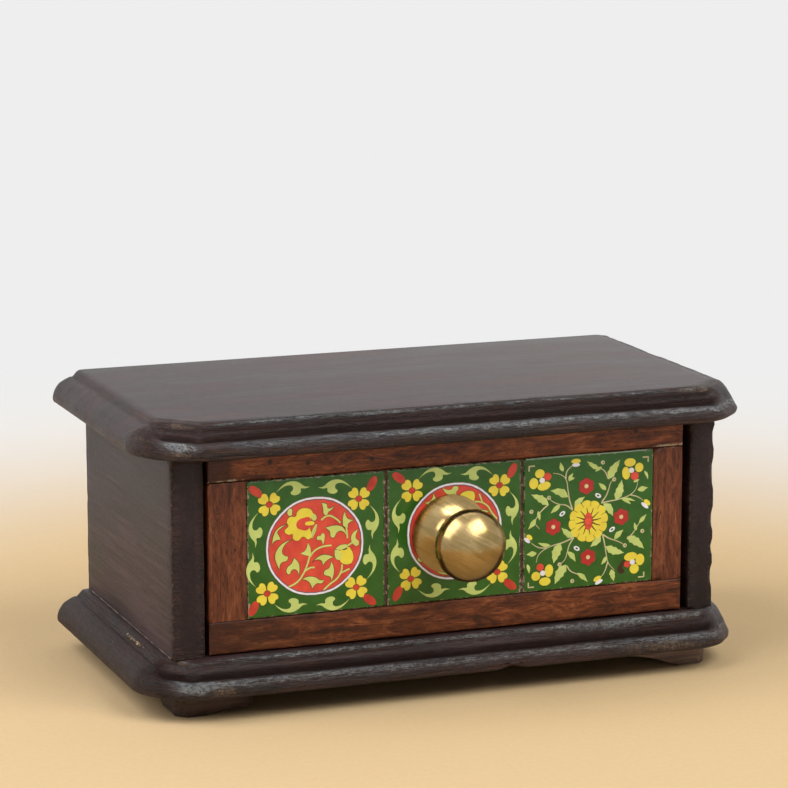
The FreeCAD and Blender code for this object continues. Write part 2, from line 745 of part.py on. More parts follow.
knob = body("knob", KNOB_X, "front - tile_proud", KNOB_Z, X_AXIS)
turning = outline(sketch(knob, "XZ_Plane"), ("knob_screw_radius + thread_clearance", "0"), [
    ("flange_radius", "0"),
    ("flange_radius", "flange_edge"),
    ("neck_radius", "flange_edge + flare_radius", "flare_radius", -1),
    ("neck_radius", "neck_top"),
    ("dome_meets_rim_r", "head_centre - dome_meets_rim_z", "dome_radius", 1),
    ("head_radius", "head_centre", "head_rim_radius", 1),
    ("dome_meets_rim_r", "head_centre + dome_meets_rim_z", "head_rim_radius", 1),
    ("0", "knob_length", "dome_radius", 1),
    ("0", "knob_bore_depth"),
    ("knob_screw_radius + thread_clearance", "knob_bore_depth"),
])
doc.recompute()
spin = knob.newObject("PartDesign::Revolution", "knob_turning")
spin.Profile = turning
spin.ReferenceAxis = (turning, ["V_Axis"])
spin.Angle = 360

SCREW_BACK = "front + front_thickness + washer_thickness"
knob_washer = body("knob_washer", KNOB_X, SCREW_BACK, KNOB_Z, X_AXIS)
ring = circles(sketch(knob_washer, "XY_Plane"), [("0", "0")], "washer_radius")
circles(ring, [("0", "0")], "knob_hole_radius")
pad(knob_washer, ring, "washer_thickness")

knob_screw = body("knob_screw", KNOB_X, SCREW_BACK, KNOB_Z, X_AXIS)
pad(knob_screw, circles(sketch(knob_screw, "XY_Plane"), [("0", "0")], "knob_screw_radius"),
    "knob_screw_length")
pad(knob_screw, circles(sketch(knob_screw, "XY_Plane"), [("0", "0")],
                        "knob_screw_head_radius"), "knob_screw_head_height", False)
head_face = -value("knob_screw_head_height")
round_edges(knob_screw, "knob_screw_head_height / 2",
            lambda edge: lies_on(edge, "Z", head_face))
slot = rectangle(sketch(knob_screw, "XY_Plane", "-knob_screw_head_height"),
                 "-knob_screw_head_radius", "-slot_half_width", "knob_screw_head_radius",
                 "slot_half_width")
pocket(knob_screw, slot, "slot_depth", True)

# ---------------------------------------------------------------- check and write
PARTS = [top_board, base_board, side_left, side_right, back_panel, *feet, base_screws,
         foot_screws, top_dowels, back_pins, top_rail, bottom_rail, left_stile, right_stile,
         tile_left, tile_middle, tile_right, tile_bed, front_board, drawer_side_left,
         drawer_side_right, drawer_back, drawer_floor, drawer_pins, knob, knob_washer,
         knob_screw]

doc.recompute()
for thing in doc.Objects:
    if "Invalid" in thing.State or "Error" in thing.State:
        raise RuntimeError("%s did not build: %s" % (thing.Label, thing.State))
for piece in PARTS:
    if piece.Shape.isNull() or not piece.Shape.isValid():
        raise RuntimeError(piece.Label + " has no valid shape")

os.makedirs("parts", exist_ok=True)
for piece in PARTS:
    piece.Shape.exportStep("parts/%s.step" % piece.Label)
    box = piece.Shape.optimalBoundingBox(False)
    print("%-20s solids %2d volume %10.1f  x %7.2f %7.2f  y %7.2f %7.2f  z %6.2f %6.2f" % (
        piece.Label, len(piece.Shape.Solids), piece.Shape.Volume, box.XMin, box.XMax,
        box.YMin, box.YMax, box.ZMin, box.ZMax))
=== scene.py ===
import math

import bpy
from mathutils import Matrix, Vector


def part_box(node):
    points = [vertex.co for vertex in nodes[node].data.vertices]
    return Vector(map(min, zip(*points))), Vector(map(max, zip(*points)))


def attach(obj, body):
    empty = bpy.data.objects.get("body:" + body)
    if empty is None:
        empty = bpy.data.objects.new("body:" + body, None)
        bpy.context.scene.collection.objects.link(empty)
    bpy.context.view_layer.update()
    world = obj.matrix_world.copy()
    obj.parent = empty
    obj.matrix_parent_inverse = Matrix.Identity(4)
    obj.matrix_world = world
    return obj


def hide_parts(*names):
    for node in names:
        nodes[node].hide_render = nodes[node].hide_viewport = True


# A stained wooden trinket box: moulded boards, a drawer front of red-brown strips round
# three painted tiles, and a turned brass knob.  Lengths in millimetres become metres by MM.
MM = 0.001
# How near to each other points are merged: in new pieces, and in copies of CAD pieces.
WELD = 0.001 * MM
CAD_WELD = 0.002 * MM

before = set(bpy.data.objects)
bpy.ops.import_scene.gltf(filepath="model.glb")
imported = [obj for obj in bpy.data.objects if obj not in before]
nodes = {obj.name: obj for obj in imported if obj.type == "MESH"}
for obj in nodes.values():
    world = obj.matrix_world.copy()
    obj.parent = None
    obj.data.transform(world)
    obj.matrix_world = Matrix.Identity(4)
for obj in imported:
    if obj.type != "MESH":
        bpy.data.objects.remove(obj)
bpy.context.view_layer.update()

# ---------------------------------------------------------------- view and light
# The camera's place in mm, its turn and dip in degrees, and its lens in mm on a 36 mm frame.
CAMERA_PLACE = Vector((-416.8, -1079.0, 324.7)) * MM
CAMERA_TURN = -20.81
CAMERA_DIP = 11.02
CAMERA_LENS = 150.33
CAMERA_FRAME = 36

# Each lamp's name, place and size in metres, power in watts and tint.
LAMPS = (("key_soft_box", (0.55, -0.95, 1.25), (1.1, 0.9), 21, "#fffaf2"),
         ("side_soft_box", (-1.1, -0.05, 1.15), (1.4, 1.4), 25, "#fffaf6"),
         ("overhead_soft_box", (0.1, 0.6, 1.5), (1.5, 1.0), 4, "#fbf6f2"))
AIR = "#ecedf0"
AIR_STRENGTH = 0.6

# The line of the carcass faces in mm, from which the mouldings stand out, and the top.
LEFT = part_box("side_left")[0].x / MM
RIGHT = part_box("side_right")[1].x / MM
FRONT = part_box("side_left")[0].y / MM
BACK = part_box("side_left")[1].y / MM
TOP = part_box("top_board")[1].z / MM


# ---------------------------------------------------------------- finishes
def linear(code):
    """An sRGB hex colour as the linear colour that a shader takes."""
    parts = [int(code[i:i + 2], 16) / 255 for i in (1, 3, 5)]
    parts = [p / 12.92 if p <= 0.04045 else ((p + 0.055) / 1.055) ** 2.4 for p in parts]
    return (*parts, 1.0)


def feed(node, inputs):
    """Give a node its inputs: an output of another node is linked, a hex colour is turned
    to linear, and anything else is set."""
    for name, given in inputs.items():
        if isinstance(given, bpy.types.NodeSocket):
            node.id_data.links.new(given, node.inputs[name])
        elif isinstance(given, str):
            node.inputs[name].default_value = linear(given)
        else:
            node.inputs[name].default_value = given


# Short names for sockets that go by number.  Map Range takes VALUE from START..END to
# LOW..HIGH, and Mix lays the colour OVER on UNDER by SHARE and gives MIXED.
VALUE, START, END, LOW, HIGH = range(5)
SHARE, UNDER, OVER, MIXED = 0, 6, 7, 2


def put(tree, kind, inputs=None, stops=None, out=0, **settings):
    """Add one node: its settings, its inputs and a ramp's colour stops, of which the first
    two take the ramp's own ends.  Gives one output."""
    node = tree.nodes.new("ShaderNode" + kind)
    for name, setting in settings.items():
        setattr(node, name, setting)
    feed(node, inputs or {})
    for number, (place, shade) in enumerate(stops or []):
        steps = node.color_ramp.elements
        step = steps[number] if number < 2 else steps.new(place)
        step.position = place
        step.color = linear(shade)
    return node.outputs[out]


def finish_start(name):
    """An empty material: its tree, its shader, and the piece's own coordinates in mm."""
    material = bpy.data.materials.new(name)
    material.use_nodes = True
    tree = material.node_tree
    shader = tree.nodes["Principled BSDF"]
    place = put(tree, "TexCoord", out="Object")
    place = put(tree, "VectorMath", {0: place, 1: (MM,) * 3}, operation="DIVIDE")
    return material, tree, shader, place


def along(grain, length, width):
    """A streak's size in mm along X, Y and Z when the grain runs along one of them."""
    return tuple(length if axis == grain else width for axis in "XYZ")


def stained_hardwood(name, grain, shades, roughness, back_sheen=0.0):
    """Close-grained hardwood, stained nearly black over red-brown wood and waxed by hand.

    To the eye: an even dark brown with faint streaks and fine open pores under a greyish satin
    sheen, brown wood showing where the bead and arrises are rubbed, and old pale wax caught in
    fine flecks along the crest of the bead, over which a grey sheen and glints are painted; the
    cove and fascia are painted near black, partly old grime and partly painted shade.
    shades: the stain from the darkest up.  roughness: that of the best waxed places.
    back_sheen: how much painted sheen pales the flat top towards its back right."""
    material, tree, shader, place = finish_start(name)
    at = put(tree, "VectorMath", {0: place, 1: along(grain, 45, 1.4)}, operation="DIVIDE")
    streaks = put(tree, "TexNoise", {"Vector": at, "Scale": 1.0, "Detail": 6.0,
                                     "Roughness": 0.65, "Distortion": 0.35})
    at = put(tree, "VectorMath", {0: place, 1: along(grain, 50, 18)}, operation="DIVIDE")
    cloud = put(tree, "TexNoise", {"Vector": at, "Scale": 1.0, "Detail": 3.0})
    at = put(tree, "VectorMath", {0: place, 1: along(grain, 3.2, 0.35)}, operation="DIVIDE")
    pores = put(tree, "TexNoise", {"Vector": at, "Scale": 1.0, "Detail": 2.0})
    at = put(tree, "VectorMath", {0: place, 1: (1.1, 1.1, 1.1)}, operation="DIVIDE")
    grit = put(tree, "TexNoise", {"Vector": at, "Scale": 1.0, "Detail": 3.0, "Roughness": 0.75})

    tone = put(tree, "Math", {0: streaks, 1: cloud})
    tone = put(tree, "Math", {0: tone, 1: 0.5}, operation="MULTIPLY")
    base = put(tree, "ValToRGB", {"Fac": tone}, stops=[(0.38, shades[0]), (0.62, shades[2]),
                                                       (0.5, shades[1])])
    pore = put(tree, "MapRange", {VALUE: pores, START: 0.30, END: 0.42, LOW: 0.5, HIGH: 0.0})
    base = put(tree, "Mix", {SHARE: pore, UNDER: base, OVER: shades[0]}, out=MIXED,
               data_type="RGBA")
    if grain == "Y":
        # End grain drinks more stain, so the front ends of these boards are darker.
        end = put(tree, "SeparateXYZ", {"Vector": place}, out="Y")
        end = put(tree, "MapRange", {VALUE: end, START: FRONT + 0.3, END: FRONT + 0.9, LOW: 0.55,
                                     HIGH: 0.0})
        base = put(tree, "Mix", {SHARE: end, UNDER: base, OVER: shades[0]}, out=MIXED,
                   data_type="RGBA")

    if back_sheen:
        # Painted sheen: a pale film on the flat of the top, stronger towards one corner, that
        # stands in for reflected light.
        sides = put(tree, "SeparateXYZ", {"Vector": place}).node.outputs
        dust_and_shading = put(tree, "Math", {0: sides["X"], 1: sides["Y"]})
        dust_and_shading = put(tree, "MapRange", {VALUE: dust_and_shading, START: -90.0, END: 150.0, HIGH: back_sheen})
        flat = put(tree, "MapRange", {VALUE: sides["Z"], START: TOP - 0.4, END: TOP - 0.1})
        dust_and_shading = put(tree, "Math", {0: dust_and_shading, 1: flat}, operation="MULTIPLY")
        base = put(tree, "Mix", {SHARE: dust_and_shading, UNDER: base, OVER: "#8b8584"}, out=MIXED,
                   data_type="RGBA")

    # Each worn piece carries its own rubbed places, waxed places with painted sheen, grimy
    # places with painted shade, and the course of its edge in mm, so that the marks run along
    # a moulding round its corners.
    rub = put(tree, "Attribute", out="Fac", attribute_name="rub")
    wax_and_sheen = put(tree, "Attribute", out="Fac", attribute_name="wax_and_sheen")
    grime_and_shade = put(tree, "Attribute", out="Fac", attribute_name="grime_and_shade")
    course = put(tree, "Attribute", out="Vector", attribute_name="course")
    worked = put(tree, "Math", {0: wax_and_sheen, 1: grime_and_shade})
    worked = put(tree, "Math", {0: worked, 1: rub})
    worked = put(tree, "MapRange", {VALUE: worked, START: 0.02, END: 0.45})

    # Thin streaks where the stain has worn down to brown.
    at = put(tree, "VectorMath", {0: course, 1: (15, 1.0, 1.0)}, operation="DIVIDE")
    thin = put(tree, "TexNoise", {"Vector": at, "Scale": 1.0, "Detail": 6.0,
                                  "Roughness": 0.7, "Distortion": 0.4})
    thin = put(tree, "MapRange", {VALUE: thin, START: 0.48, END: 0.64, HIGH: 0.75})
    thin = put(tree, "Math", {0: thin, 1: worked}, operation="MULTIPLY")
    base = put(tree, "Mix", {SHARE: thin, UNDER: base, OVER: "#4a2f24"}, out=MIXED,
               data_type="RGBA")

    # Bare wood on the rubbed places.
    at = put(tree, "VectorMath", {0: course, 1: (11, 2.4, 2.4)}, operation="DIVIDE")
    patches = put(tree, "TexNoise", {"Vector": at, "Scale": 1.0, "Detail": 5.0,
                                     "Roughness": 0.66, "Distortion": 0.4})
    bare = put(tree, "Math", {0: rub, 1: patches}, operation="MULTIPLY")
    bare = put(tree, "MapRange", {VALUE: bare, START: 0.40, END: 0.62})
    speckled = put(tree, "MapRange", {VALUE: grit, START: 0.35, END: 0.6, LOW: 0.25, HIGH: 0.9})
    bare = put(tree, "Math", {0: bare, 1: speckled}, operation="MULTIPLY")
    wood = put(tree, "ValToRGB", {"Fac": grit}, stops=[(0.4, "#38281f"), (0.62, "#74604f")])
    base = put(tree, "Mix", {SHARE: bare, UNDER: base, OVER: wood}, out=MIXED, data_type="RGBA")

    # Old wax and painted sheen: a grey bloom stands in for the sky reflected on the bead's
    # crest, and pale flecks of wax where more of it has caught also paint that crest's
    # highlight as broken glints.
    at = put(tree, "VectorMath", {0: course, 1: (26, 3.0, 3.0)}, operation="DIVIDE")
    spread = put(tree, "TexNoise", {"Vector": at, "Scale": 1.0, "Detail": 3.0,
                                    "Roughness": 0.6, "Distortion": 0.3})
    at = put(tree, "VectorMath", {0: course, 1: (3.4, 0.6, 0.6)}, operation="DIVIDE")
    flecks = put(tree, "TexNoise", {"Vector": at, "Scale": 1.0, "Detail": 5.0,
                                    "Roughness": 0.8, "Distortion": 0.3})
    bloom = put(tree, "MapRange", {VALUE: flecks, START: 0.40, END: 0.60, HIGH: 0.8})
    bloom = put(tree, "Math", {0: bloom, 1: wax_and_sheen}, operation="MULTIPLY")
    base = put(tree, "Mix", {SHARE: bloom, UNDER: base, OVER: "#666b71"}, out=MIXED,
               data_type="RGBA")
    caught = put(tree, "MapRange", {VALUE: spread, START: 0.3, END: 0.52})
    caught = put(tree, "Math", {0: caught, 1: wax_and_sheen}, operation="MULTIPLY")
    caught = put(tree, "Math", {0: caught, 1: 0.4, 2: flecks}, operation="MULTIPLY_ADD")
    wax_and_glint = put(tree, "MapRange", {VALUE: caught, START: 0.72, END: 0.94, HIGH: 0.85})
    broken = put(tree, "MapRange", {VALUE: grit, START: 0.40, END: 0.58, LOW: 0.05})
    wax_and_glint = put(tree, "Math", {0: wax_and_glint, 1: broken}, operation="MULTIPLY")
    pale = put(tree, "ValToRGB", {"Fac": patches}, stops=[(0.35, "#a7afb3"), (0.6, "#85888f")])
    base = put(tree, "Mix", {SHARE: wax_and_glint, UNDER: base, OVER: pale}, out=MIXED, data_type="RGBA")

    # Painted shade, with some old grime: the cove, the fascia, the base board's left ledge and
    # some knocks go near black, and a darker specular tint dulls their gloss.
    black = put(tree, "Math", {0: grime_and_shade, 1: 0.92}, operation="MULTIPLY")
    base = put(tree, "Mix", {SHARE: black, UNDER: base, OVER: "#140a08"}, out=MIXED,
               data_type="RGBA")
    dull = put(tree, "Math", {0: grime_and_shade, 1: 0.85}, operation="MULTIPLY")
    dull = put(tree, "Mix", {SHARE: dull, UNDER: "#ffffff", OVER: "#4a3c38"}, out=MIXED,
               data_type="RGBA")
    gloss = put(tree, "MapRange", {VALUE: cloud, START: 0.3, END: 0.7, LOW: roughness,
                                   HIGH: roughness + 0.1})
    gloss = put(tree, "Math", {0: grime_and_shade, 1: 0.4, 2: gloss}, operation="MULTIPLY_ADD")

    relief = put(tree, "Math", {0: pore, 1: -0.7, 2: streaks}, operation="MULTIPLY_ADD")
    scuffed = put(tree, "Math", {0: wax_and_sheen, 1: flecks}, operation="MULTIPLY")
    relief = put(tree, "Math", {0: scuffed, 1: 2.2, 2: relief}, operation="MULTIPLY_ADD")
    relief = put(tree, "Math", {0: grit, 1: 1.2, 2: relief}, operation="MULTIPLY_ADD")
    relief = put(tree, "Math", {0: thin, 1: -0.8, 2: relief}, operation="MULTIPLY_ADD")
    depth = put(tree, "MapRange", {VALUE: worked, LOW: 0.3, HIGH: 1.0})
    feed(shader, {"Base Color": base, "Roughness": gloss, "Specular IOR Level": 0.27,
                  "Specular Tint": dull,
                  "Normal": put(tree, "Bump", {"Height": relief, "Strength": depth,
                                               "Distance": 0.5 * MM})})
    return material


def waxed_rosewood(name, grain, shades, swirl, holes=()):
    """Red-brown rosewood strip, oiled and waxed, with burr-like figure.

    To the eye: orange-brown wood clouded with near-black blotches, short dark pores along the
    grain, a soft wax shine, and pale dust and filler caught at its joints and arrises.
    swirl: how far the figure curls.  holes: the x and z of old filled nail holes, which show
    as small dark dots."""
    material, tree, shader, place = finish_start(name)
    at = put(tree, "VectorMath", {0: place, 1: along(grain, 15, 4.5)}, operation="DIVIDE")
    figure = put(tree, "TexNoise", {"Vector": at, "Scale": 1.0, "Detail": 8.0,
                                    "Roughness": 0.72, "Distortion": swirl})
    at = put(tree, "VectorMath", {0: place, 1: along(grain, 30, 1.8)}, operation="DIVIDE")
    bands = put(tree, "TexNoise", {"Vector": at, "Scale": 1.0, "Detail": 6.0,
                                   "Roughness": 0.66, "Distortion": 0.6})
    at = put(tree, "VectorMath", {0: place, 1: along(grain, 4, 0.5)}, operation="DIVIDE")
    fibre = put(tree, "TexNoise", {"Vector": at, "Scale": 1.0, "Detail": 3.0, "Roughness": 0.6})
    at = put(tree, "VectorMath", {0: place, 1: along(grain, 2.8, 0.5)}, operation="DIVIDE")
    pores = put(tree, "TexNoise", {"Vector": at, "Scale": 1.0, "Detail": 1.0})

    tone = put(tree, "Math", {0: bands, 1: 0.35}, operation="MULTIPLY")
    tone = put(tree, "Math", {0: figure, 1: 0.65, 2: tone}, operation="MULTIPLY_ADD")
    base = put(tree, "ValToRGB", {"Fac": tone}, stops=[(0.39, shades[0]), (0.64, shades[3]),
                                                       (0.46, shades[1]), (0.54, shades[2])])
    dark = put(tree, "MapRange", {VALUE: fibre, START: 0.35, END: 0.65, LOW: 0.4, HIGH: 0.0})
    base = put(tree, "Mix", {SHARE: dark, UNDER: base, OVER: "#2f140b"}, out=MIXED,
               data_type="RGBA")
    dark = put(tree, "MapRange", {VALUE: pores, START: 0.28, END: 0.38, LOW: 0.8, HIGH: 0.0})
    base = put(tree, "Mix", {SHARE: dark, UNDER: base, OVER: "#180a07"}, out=MIXED,
               data_type="RGBA")
    for x, z in holes:
        ring = put(tree, "VectorMath", {0: place, 1: (x, FRONT, z)}, out="Value",
                   operation="DISTANCE")
        ring = put(tree, "MapRange", {VALUE: ring, START: 0.5, END: 1.1, LOW: 0.9, HIGH: 0.0})
        base = put(tree, "Mix", {SHARE: ring, UNDER: base, OVER: "#120908"}, out=MIXED,
                   data_type="RGBA")
    grime_and_shade = put(tree, "Attribute", out="Fac", attribute_name="grime_and_shade")
    grime_and_shade = put(tree, "Math", {0: grime_and_shade, 1: 0.8}, operation="MULTIPLY")
    base = put(tree, "Mix", {SHARE: grime_and_shade, UNDER: base, OVER: "#280f07"}, out=MIXED,
               data_type="RGBA")
    rub = put(tree, "Attribute", out="Fac", attribute_name="rub")
    at = put(tree, "VectorMath", {0: place, 1: (1.6, 1.6, 1.6)}, operation="DIVIDE")
    crumbs = put(tree, "TexNoise", {"Vector": at, "Scale": 1.0, "Detail": 5.0,
                                    "Roughness": 0.75})
    dusty = put(tree, "Math", {0: rub, 1: crumbs}, operation="MULTIPLY")
    dusty = put(tree, "MapRange", {VALUE: dusty, START: 0.56, END: 0.64, HIGH: 0.85})
    base = put(tree, "Mix", {SHARE: dusty, UNDER: base, OVER: "#a79c8c"}, out=MIXED,
               data_type="RGBA")
    gloss = put(tree, "MapRange", {VALUE: bands, START: 0.3, END: 0.7, LOW: 0.34, HIGH: 0.48})
    relief = put(tree, "Math", {0: pores, 1: 0.8, 2: fibre}, operation="MULTIPLY_ADD")
    feed(shader, {"Base Color": base, "Roughness": gloss, "Specular IOR Level": 0.3,
                  "Normal": put(tree, "Bump", {"Height": relief, "Strength": 0.4,
                                               "Distance": 0.15 * MM})})
    return material


def planed_softwood(name, grain):
    """Plain sanded softwood: pale straw brown, broad soft growth rings, almost no shine."""
    material, tree, shader, place = finish_start(name)
    at = put(tree, "VectorMath", {0: place, 1: along(grain, 90, 4)}, operation="DIVIDE")
    rings = put(tree, "TexNoise", {"Vector": at, "Scale": 1.0, "Detail": 4.0,
                                   "Distortion": 0.6})
    at = put(tree, "VectorMath", {0: place, 1: along(grain, 14, 0.4)}, operation="DIVIDE")
    fibre = put(tree, "TexNoise", {"Vector": at, "Scale": 1.0, "Detail": 2.0})
    base = put(tree, "ValToRGB", {"Fac": rings}, stops=[(0.35, "#b48a5c"), (0.65, "#cfa878"),
                                                        (0.5, "#c29868")])
    base = put(tree, "Mix", {SHARE: fibre, UNDER: base, OVER: "#a98053"}, out=MIXED,
               data_type="RGBA")
    feed(shader, {"Base Color": base, "Roughness": 0.68,
                  "Normal": put(tree, "Bump", {"Height": fibre, "Strength": 0.3,
                                               "Distance": 0.1 * MM})})
    return material


def tile_glaze(name, shade, mottle, edge=None):
    """Painted ceramic under clear glaze: full colour, a little uneven, with a wet shine.

    Where edge gives a tile's middle and half size, pale fired clay shows in its chipped rim."""
    material, tree, shader, place = finish_start(name)
    at = put(tree, "VectorMath", {0: place, 1: (5, 5, 5)}, operation="DIVIDE")
    washes = put(tree, "TexNoise", {"Vector": at, "Scale": 1.0, "Detail": 4.0})
    washes = put(tree, "MapRange", {VALUE: washes, START: 0.3, END: 0.7})
    base = put(tree, "Mix", {SHARE: washes, UNDER: shade, OVER: mottle}, out=MIXED,
               data_type="RGBA")
    shine = 0.14
    if edge:
        middle, half = edge
        offset = put(tree, "VectorMath", {0: place, 1: middle}, operation="SUBTRACT")
        offset = put(tree, "VectorMath", {0: offset}, operation="ABSOLUTE")
        inset = put(tree, "VectorMath", {0: half, 1: offset}, operation="SUBTRACT")
        sides = put(tree, "SeparateXYZ", {"Vector": inset}).node.outputs
        rim = put(tree, "Math", {0: sides["X"], 1: sides["Z"]}, operation="MINIMUM")
        at = put(tree, "VectorMath", {0: place, 1: (1.8, 1.8, 1.8)}, operation="DIVIDE")
        reach = put(tree, "TexNoise", {"Vector": at, "Scale": 1.0, "Detail": 5.0,
                                       "Roughness": 0.7})
        reach = put(tree, "MapRange", {VALUE: reach, START: 0.46, END: 0.72, HIGH: 0.9})
        chip = put(tree, "Math", {0: rim, 1: reach}, operation="LESS_THAN")
        base = put(tree, "Mix", {SHARE: chip, UNDER: base, OVER: "#9c8f7d"}, out=MIXED,
                   data_type="RGBA")
        shine = put(tree, "MapRange", {VALUE: chip, LOW: 0.14, HIGH: 0.8})
    at = put(tree, "VectorMath", {0: place, 1: (4, 4, 4)}, operation="DIVIDE")
    wet = put(tree, "TexNoise", {"Vector": at, "Scale": 1.0, "Detail": 1.0})
    feed(shader, {"Base Color": base, "Roughness": shine, "Specular IOR Level": 0.34,
                  "Normal": put(tree, "Bump", {"Height": wet, "Strength": 0.2,
                                               "Distance": 0.12 * MM})})
    return material


def tile_filler():
    """Dry stained grout: dull brown-grey, gritty, with a few pale chips of lime in it."""
    material, tree, shader, place = finish_start("tile_filler")
    at = put(tree, "VectorMath", {0: place, 1: (0.7, 0.7, 0.7)}, operation="DIVIDE")
    grit = put(tree, "TexNoise", {"Vector": at, "Scale": 1.0, "Detail": 6.0, "Roughness": 0.7})
    at = put(tree, "VectorMath", {0: place, 1: (1.6, 1.6, 2.4)}, operation="DIVIDE")
    chips = put(tree, "TexNoise", {"Vector": at, "Scale": 1.0, "Detail": 4.0})
    chips = put(tree, "MapRange", {VALUE: chips, START: 0.58, END: 0.64})
    base = put(tree, "ValToRGB", {"Fac": grit}, stops=[(0.35, "#33241c"), (0.7, "#64503f")])
    base = put(tree, "Mix", {SHARE: chips, UNDER: base, OVER: "#b89f96"}, out=MIXED,
               data_type="RGBA")
    feed(shader, {"Base Color": base, "Roughness": 0.88,
                  "Normal": put(tree, "Bump", {"Height": grit, "Strength": 0.8,
                                               "Distance": 0.3 * MM})})
    return material


def buffed_brass(axis_x, axis_z):
    """Cast and turned brass, buffed by hand: pale gold with soft broad highlights, cloudy
    from handling, browner underneath, with soft polishing marks swept across it."""
    material, tree, shader, place = finish_start("buffed_brass")
    middle = put(tree, "VectorMath", {0: place, 1: (axis_x, 0, axis_z)}, operation="SUBTRACT")
    turned = put(tree, "VectorRotate", {"Vector": middle, "Angle": math.radians(-32)},
                 rotation_type="Y_AXIS")
    at = put(tree, "VectorMath", {0: turned, 1: (17, 17, 1.9)}, operation="DIVIDE")
    swept = put(tree, "TexNoise", {"Vector": at, "Scale": 1.0, "Detail": 3.0,
                                   "Distortion": 0.8})
    at = put(tree, "VectorMath", {0: place, 1: (7, 7, 7)}, operation="DIVIDE")
    hands = put(tree, "TexNoise", {"Vector": at, "Scale": 1.0, "Detail": 4.0})
    base = put(tree, "ValToRGB", {"Fac": hands}, stops=[(0.35, "#a48a5c"), (0.7, "#c1a877")])
    marks = put(tree, "MapRange", {VALUE: swept, START: 0.42, END: 0.62, HIGH: 0.6})
    base = put(tree, "Mix", {SHARE: marks, UNDER: base, OVER: "#84703f"}, out=MIXED,
               data_type="RGBA")
    # Darker and browner towards the bottom: part tarnish where hands seldom buff it, part
    # painted shade for the dim room reflected there.
    up = put(tree, "SeparateXYZ", {"Vector": middle}, out="Z")
    under = put(tree, "MapRange", {VALUE: up, START: 4.0, END: -10.0, HIGH: 0.7})
    base = put(tree, "Mix", {SHARE: under, UNDER: base, OVER: "#877555"}, out=MIXED,
               data_type="RGBA")
    shine = put(tree, "MapRange", {VALUE: hands, START: 0.35, END: 0.7, LOW: 0.19, HIGH: 0.28})
    feed(shader, {"Base Color": base, "Metallic": 1.0, "Roughness": shine,
                  "Normal": put(tree, "Bump", {"Height": swept, "Strength": 0.12,
                                               "Distance": 0.2 * MM})})
    return material


def zinc_plate():
    """Plain zinc-plated steel, as on small screws and pins: pale grey with a soft bloom."""
    material, tree, shader, place = finish_start("zinc_plate")
    at = put(tree, "VectorMath", {0: place, 1: (1.5, 1.5, 1.5)}, operation="DIVIDE")
    bloom = put(tree, "TexNoise", {"Vector": at, "Scale": 1.0, "Detail": 4.0})
    base = put(tree, "ValToRGB", {"Fac": bloom}, stops=[(0.3, "#9c9a93"), (0.7, "#c4c3bd")])
    feed(shader, {"Base Color": base, "Metallic": 1.0,
                  "Roughness": put(tree, "MapRange", {VALUE: bloom, LOW: 0.3, HIGH: 0.5})})
    return material


def old_wax():
    """Hardened furniture wax in a joint: dull greyish tan, uneven, hardly shiny."""
    material, tree, shader, place = finish_start("old_wax")
    at = put(tree, "VectorMath", {0: place, 1: (2.0, 2.0, 2.0)}, operation="DIVIDE")
    dirt = put(tree, "TexNoise", {"Vector": at, "Scale": 1.0, "Detail": 3.0})
    base = put(tree, "ValToRGB", {"Fac": dirt}, stops=[(0.35, "#3d322c"), (0.65, "#78695c")])
    feed(shader, {"Base Color": base, "Roughness": 0.6})
    return material


def dried_paint():
    """Spots of cream house paint, dried on: chalky, tan where hands have rubbed them."""
    material, tree, shader, place = finish_start("dried_cream_paint")
    at = put(tree, "VectorMath", {0: place, 1: (1.0, 1.0, 1.0)}, operation="DIVIDE")
    rubbed = put(tree, "TexNoise", {"Vector": at, "Scale": 1.0, "Detail": 2.0})
    base = put(tree, "ValToRGB", {"Fac": rubbed}, stops=[(0.35, "#a98a62"), (0.65, "#e2cba2")])
    feed(shader, {"Base Color": base, "Roughness": 0.75})
    return material


def wear(piece, material):
    """Finish a piece all over in one material."""
    piece.data.materials.clear()
    piece.data.materials.append(material)


# ---------------------------------------------------------------- worn wood
def pick(*pieces):
    """Deselect everything, then select these pieces and make the first one active."""
    bpy.ops.object.select_all(action="DESELECT")
    for piece in pieces:
        piece.select_set(True)
    bpy.context.view_layer.objects.active = pieces[0]


def smooth_below(piece, degrees):
    """Shade a piece smooth, but for edges sharper than this many degrees."""
    pick(piece)
    bpy.ops.object.shade_smooth_by_angle(angle=math.radians(degrees))


def bump_at(value, middle, width):
    """A soft bump: 1 at the middle, about a third at one width from it, and then nothing."""
    return math.exp(-((value - middle) / width) ** 2)


def ease(value, start, end):
    """0 before start, 1 past end, and a soft rise between them; start may be the larger."""
    share = min(1.0, max(0.0, (value - start) / (end - start)))
    return share * share * (3 - 2 * share)


def read_off(value, knots):
    """The height over value of the line through these knots."""
    for (x0, y0), (x1, y1) in zip(knots, knots[1:]):
        if value <= x1:
            return y0 + (y1 - y0) * (value - x0) / (x1 - x0)
    return knots[-1][1]


def nothing(x, y, z):
    """A rule for a piece that has no such wear."""
    return 0.0


def own_place(x, y, z):
    """A rule for a piece whose marks follow its own X, Y and Z."""
    return x, y, z


def mark(piece, rub=nothing, wax_and_sheen=nothing, grime_and_shade=nothing, course=own_place):
    """Store where a piece is rubbed, where it has wax and painted sheen, where grime and
    painted shade, and how its edge runs, each by a rule of x, y and z in mm."""
    for name, rule in (("rub", rub), ("wax_and_sheen", wax_and_sheen), ("grime_and_shade", grime_and_shade)):
        layer = piece.data.attributes.new(name, "FLOAT", "POINT")
        for vertex in piece.data.vertices:
            layer.data[vertex.index].value = rule(*(vertex.co / MM))
    layer = piece.data.attributes.new("course", "FLOAT_VECTOR", "POINT")
    for vertex in piece.data.vertices:
        layer.data[vertex.index].vector = course(*(vertex.co / MM))


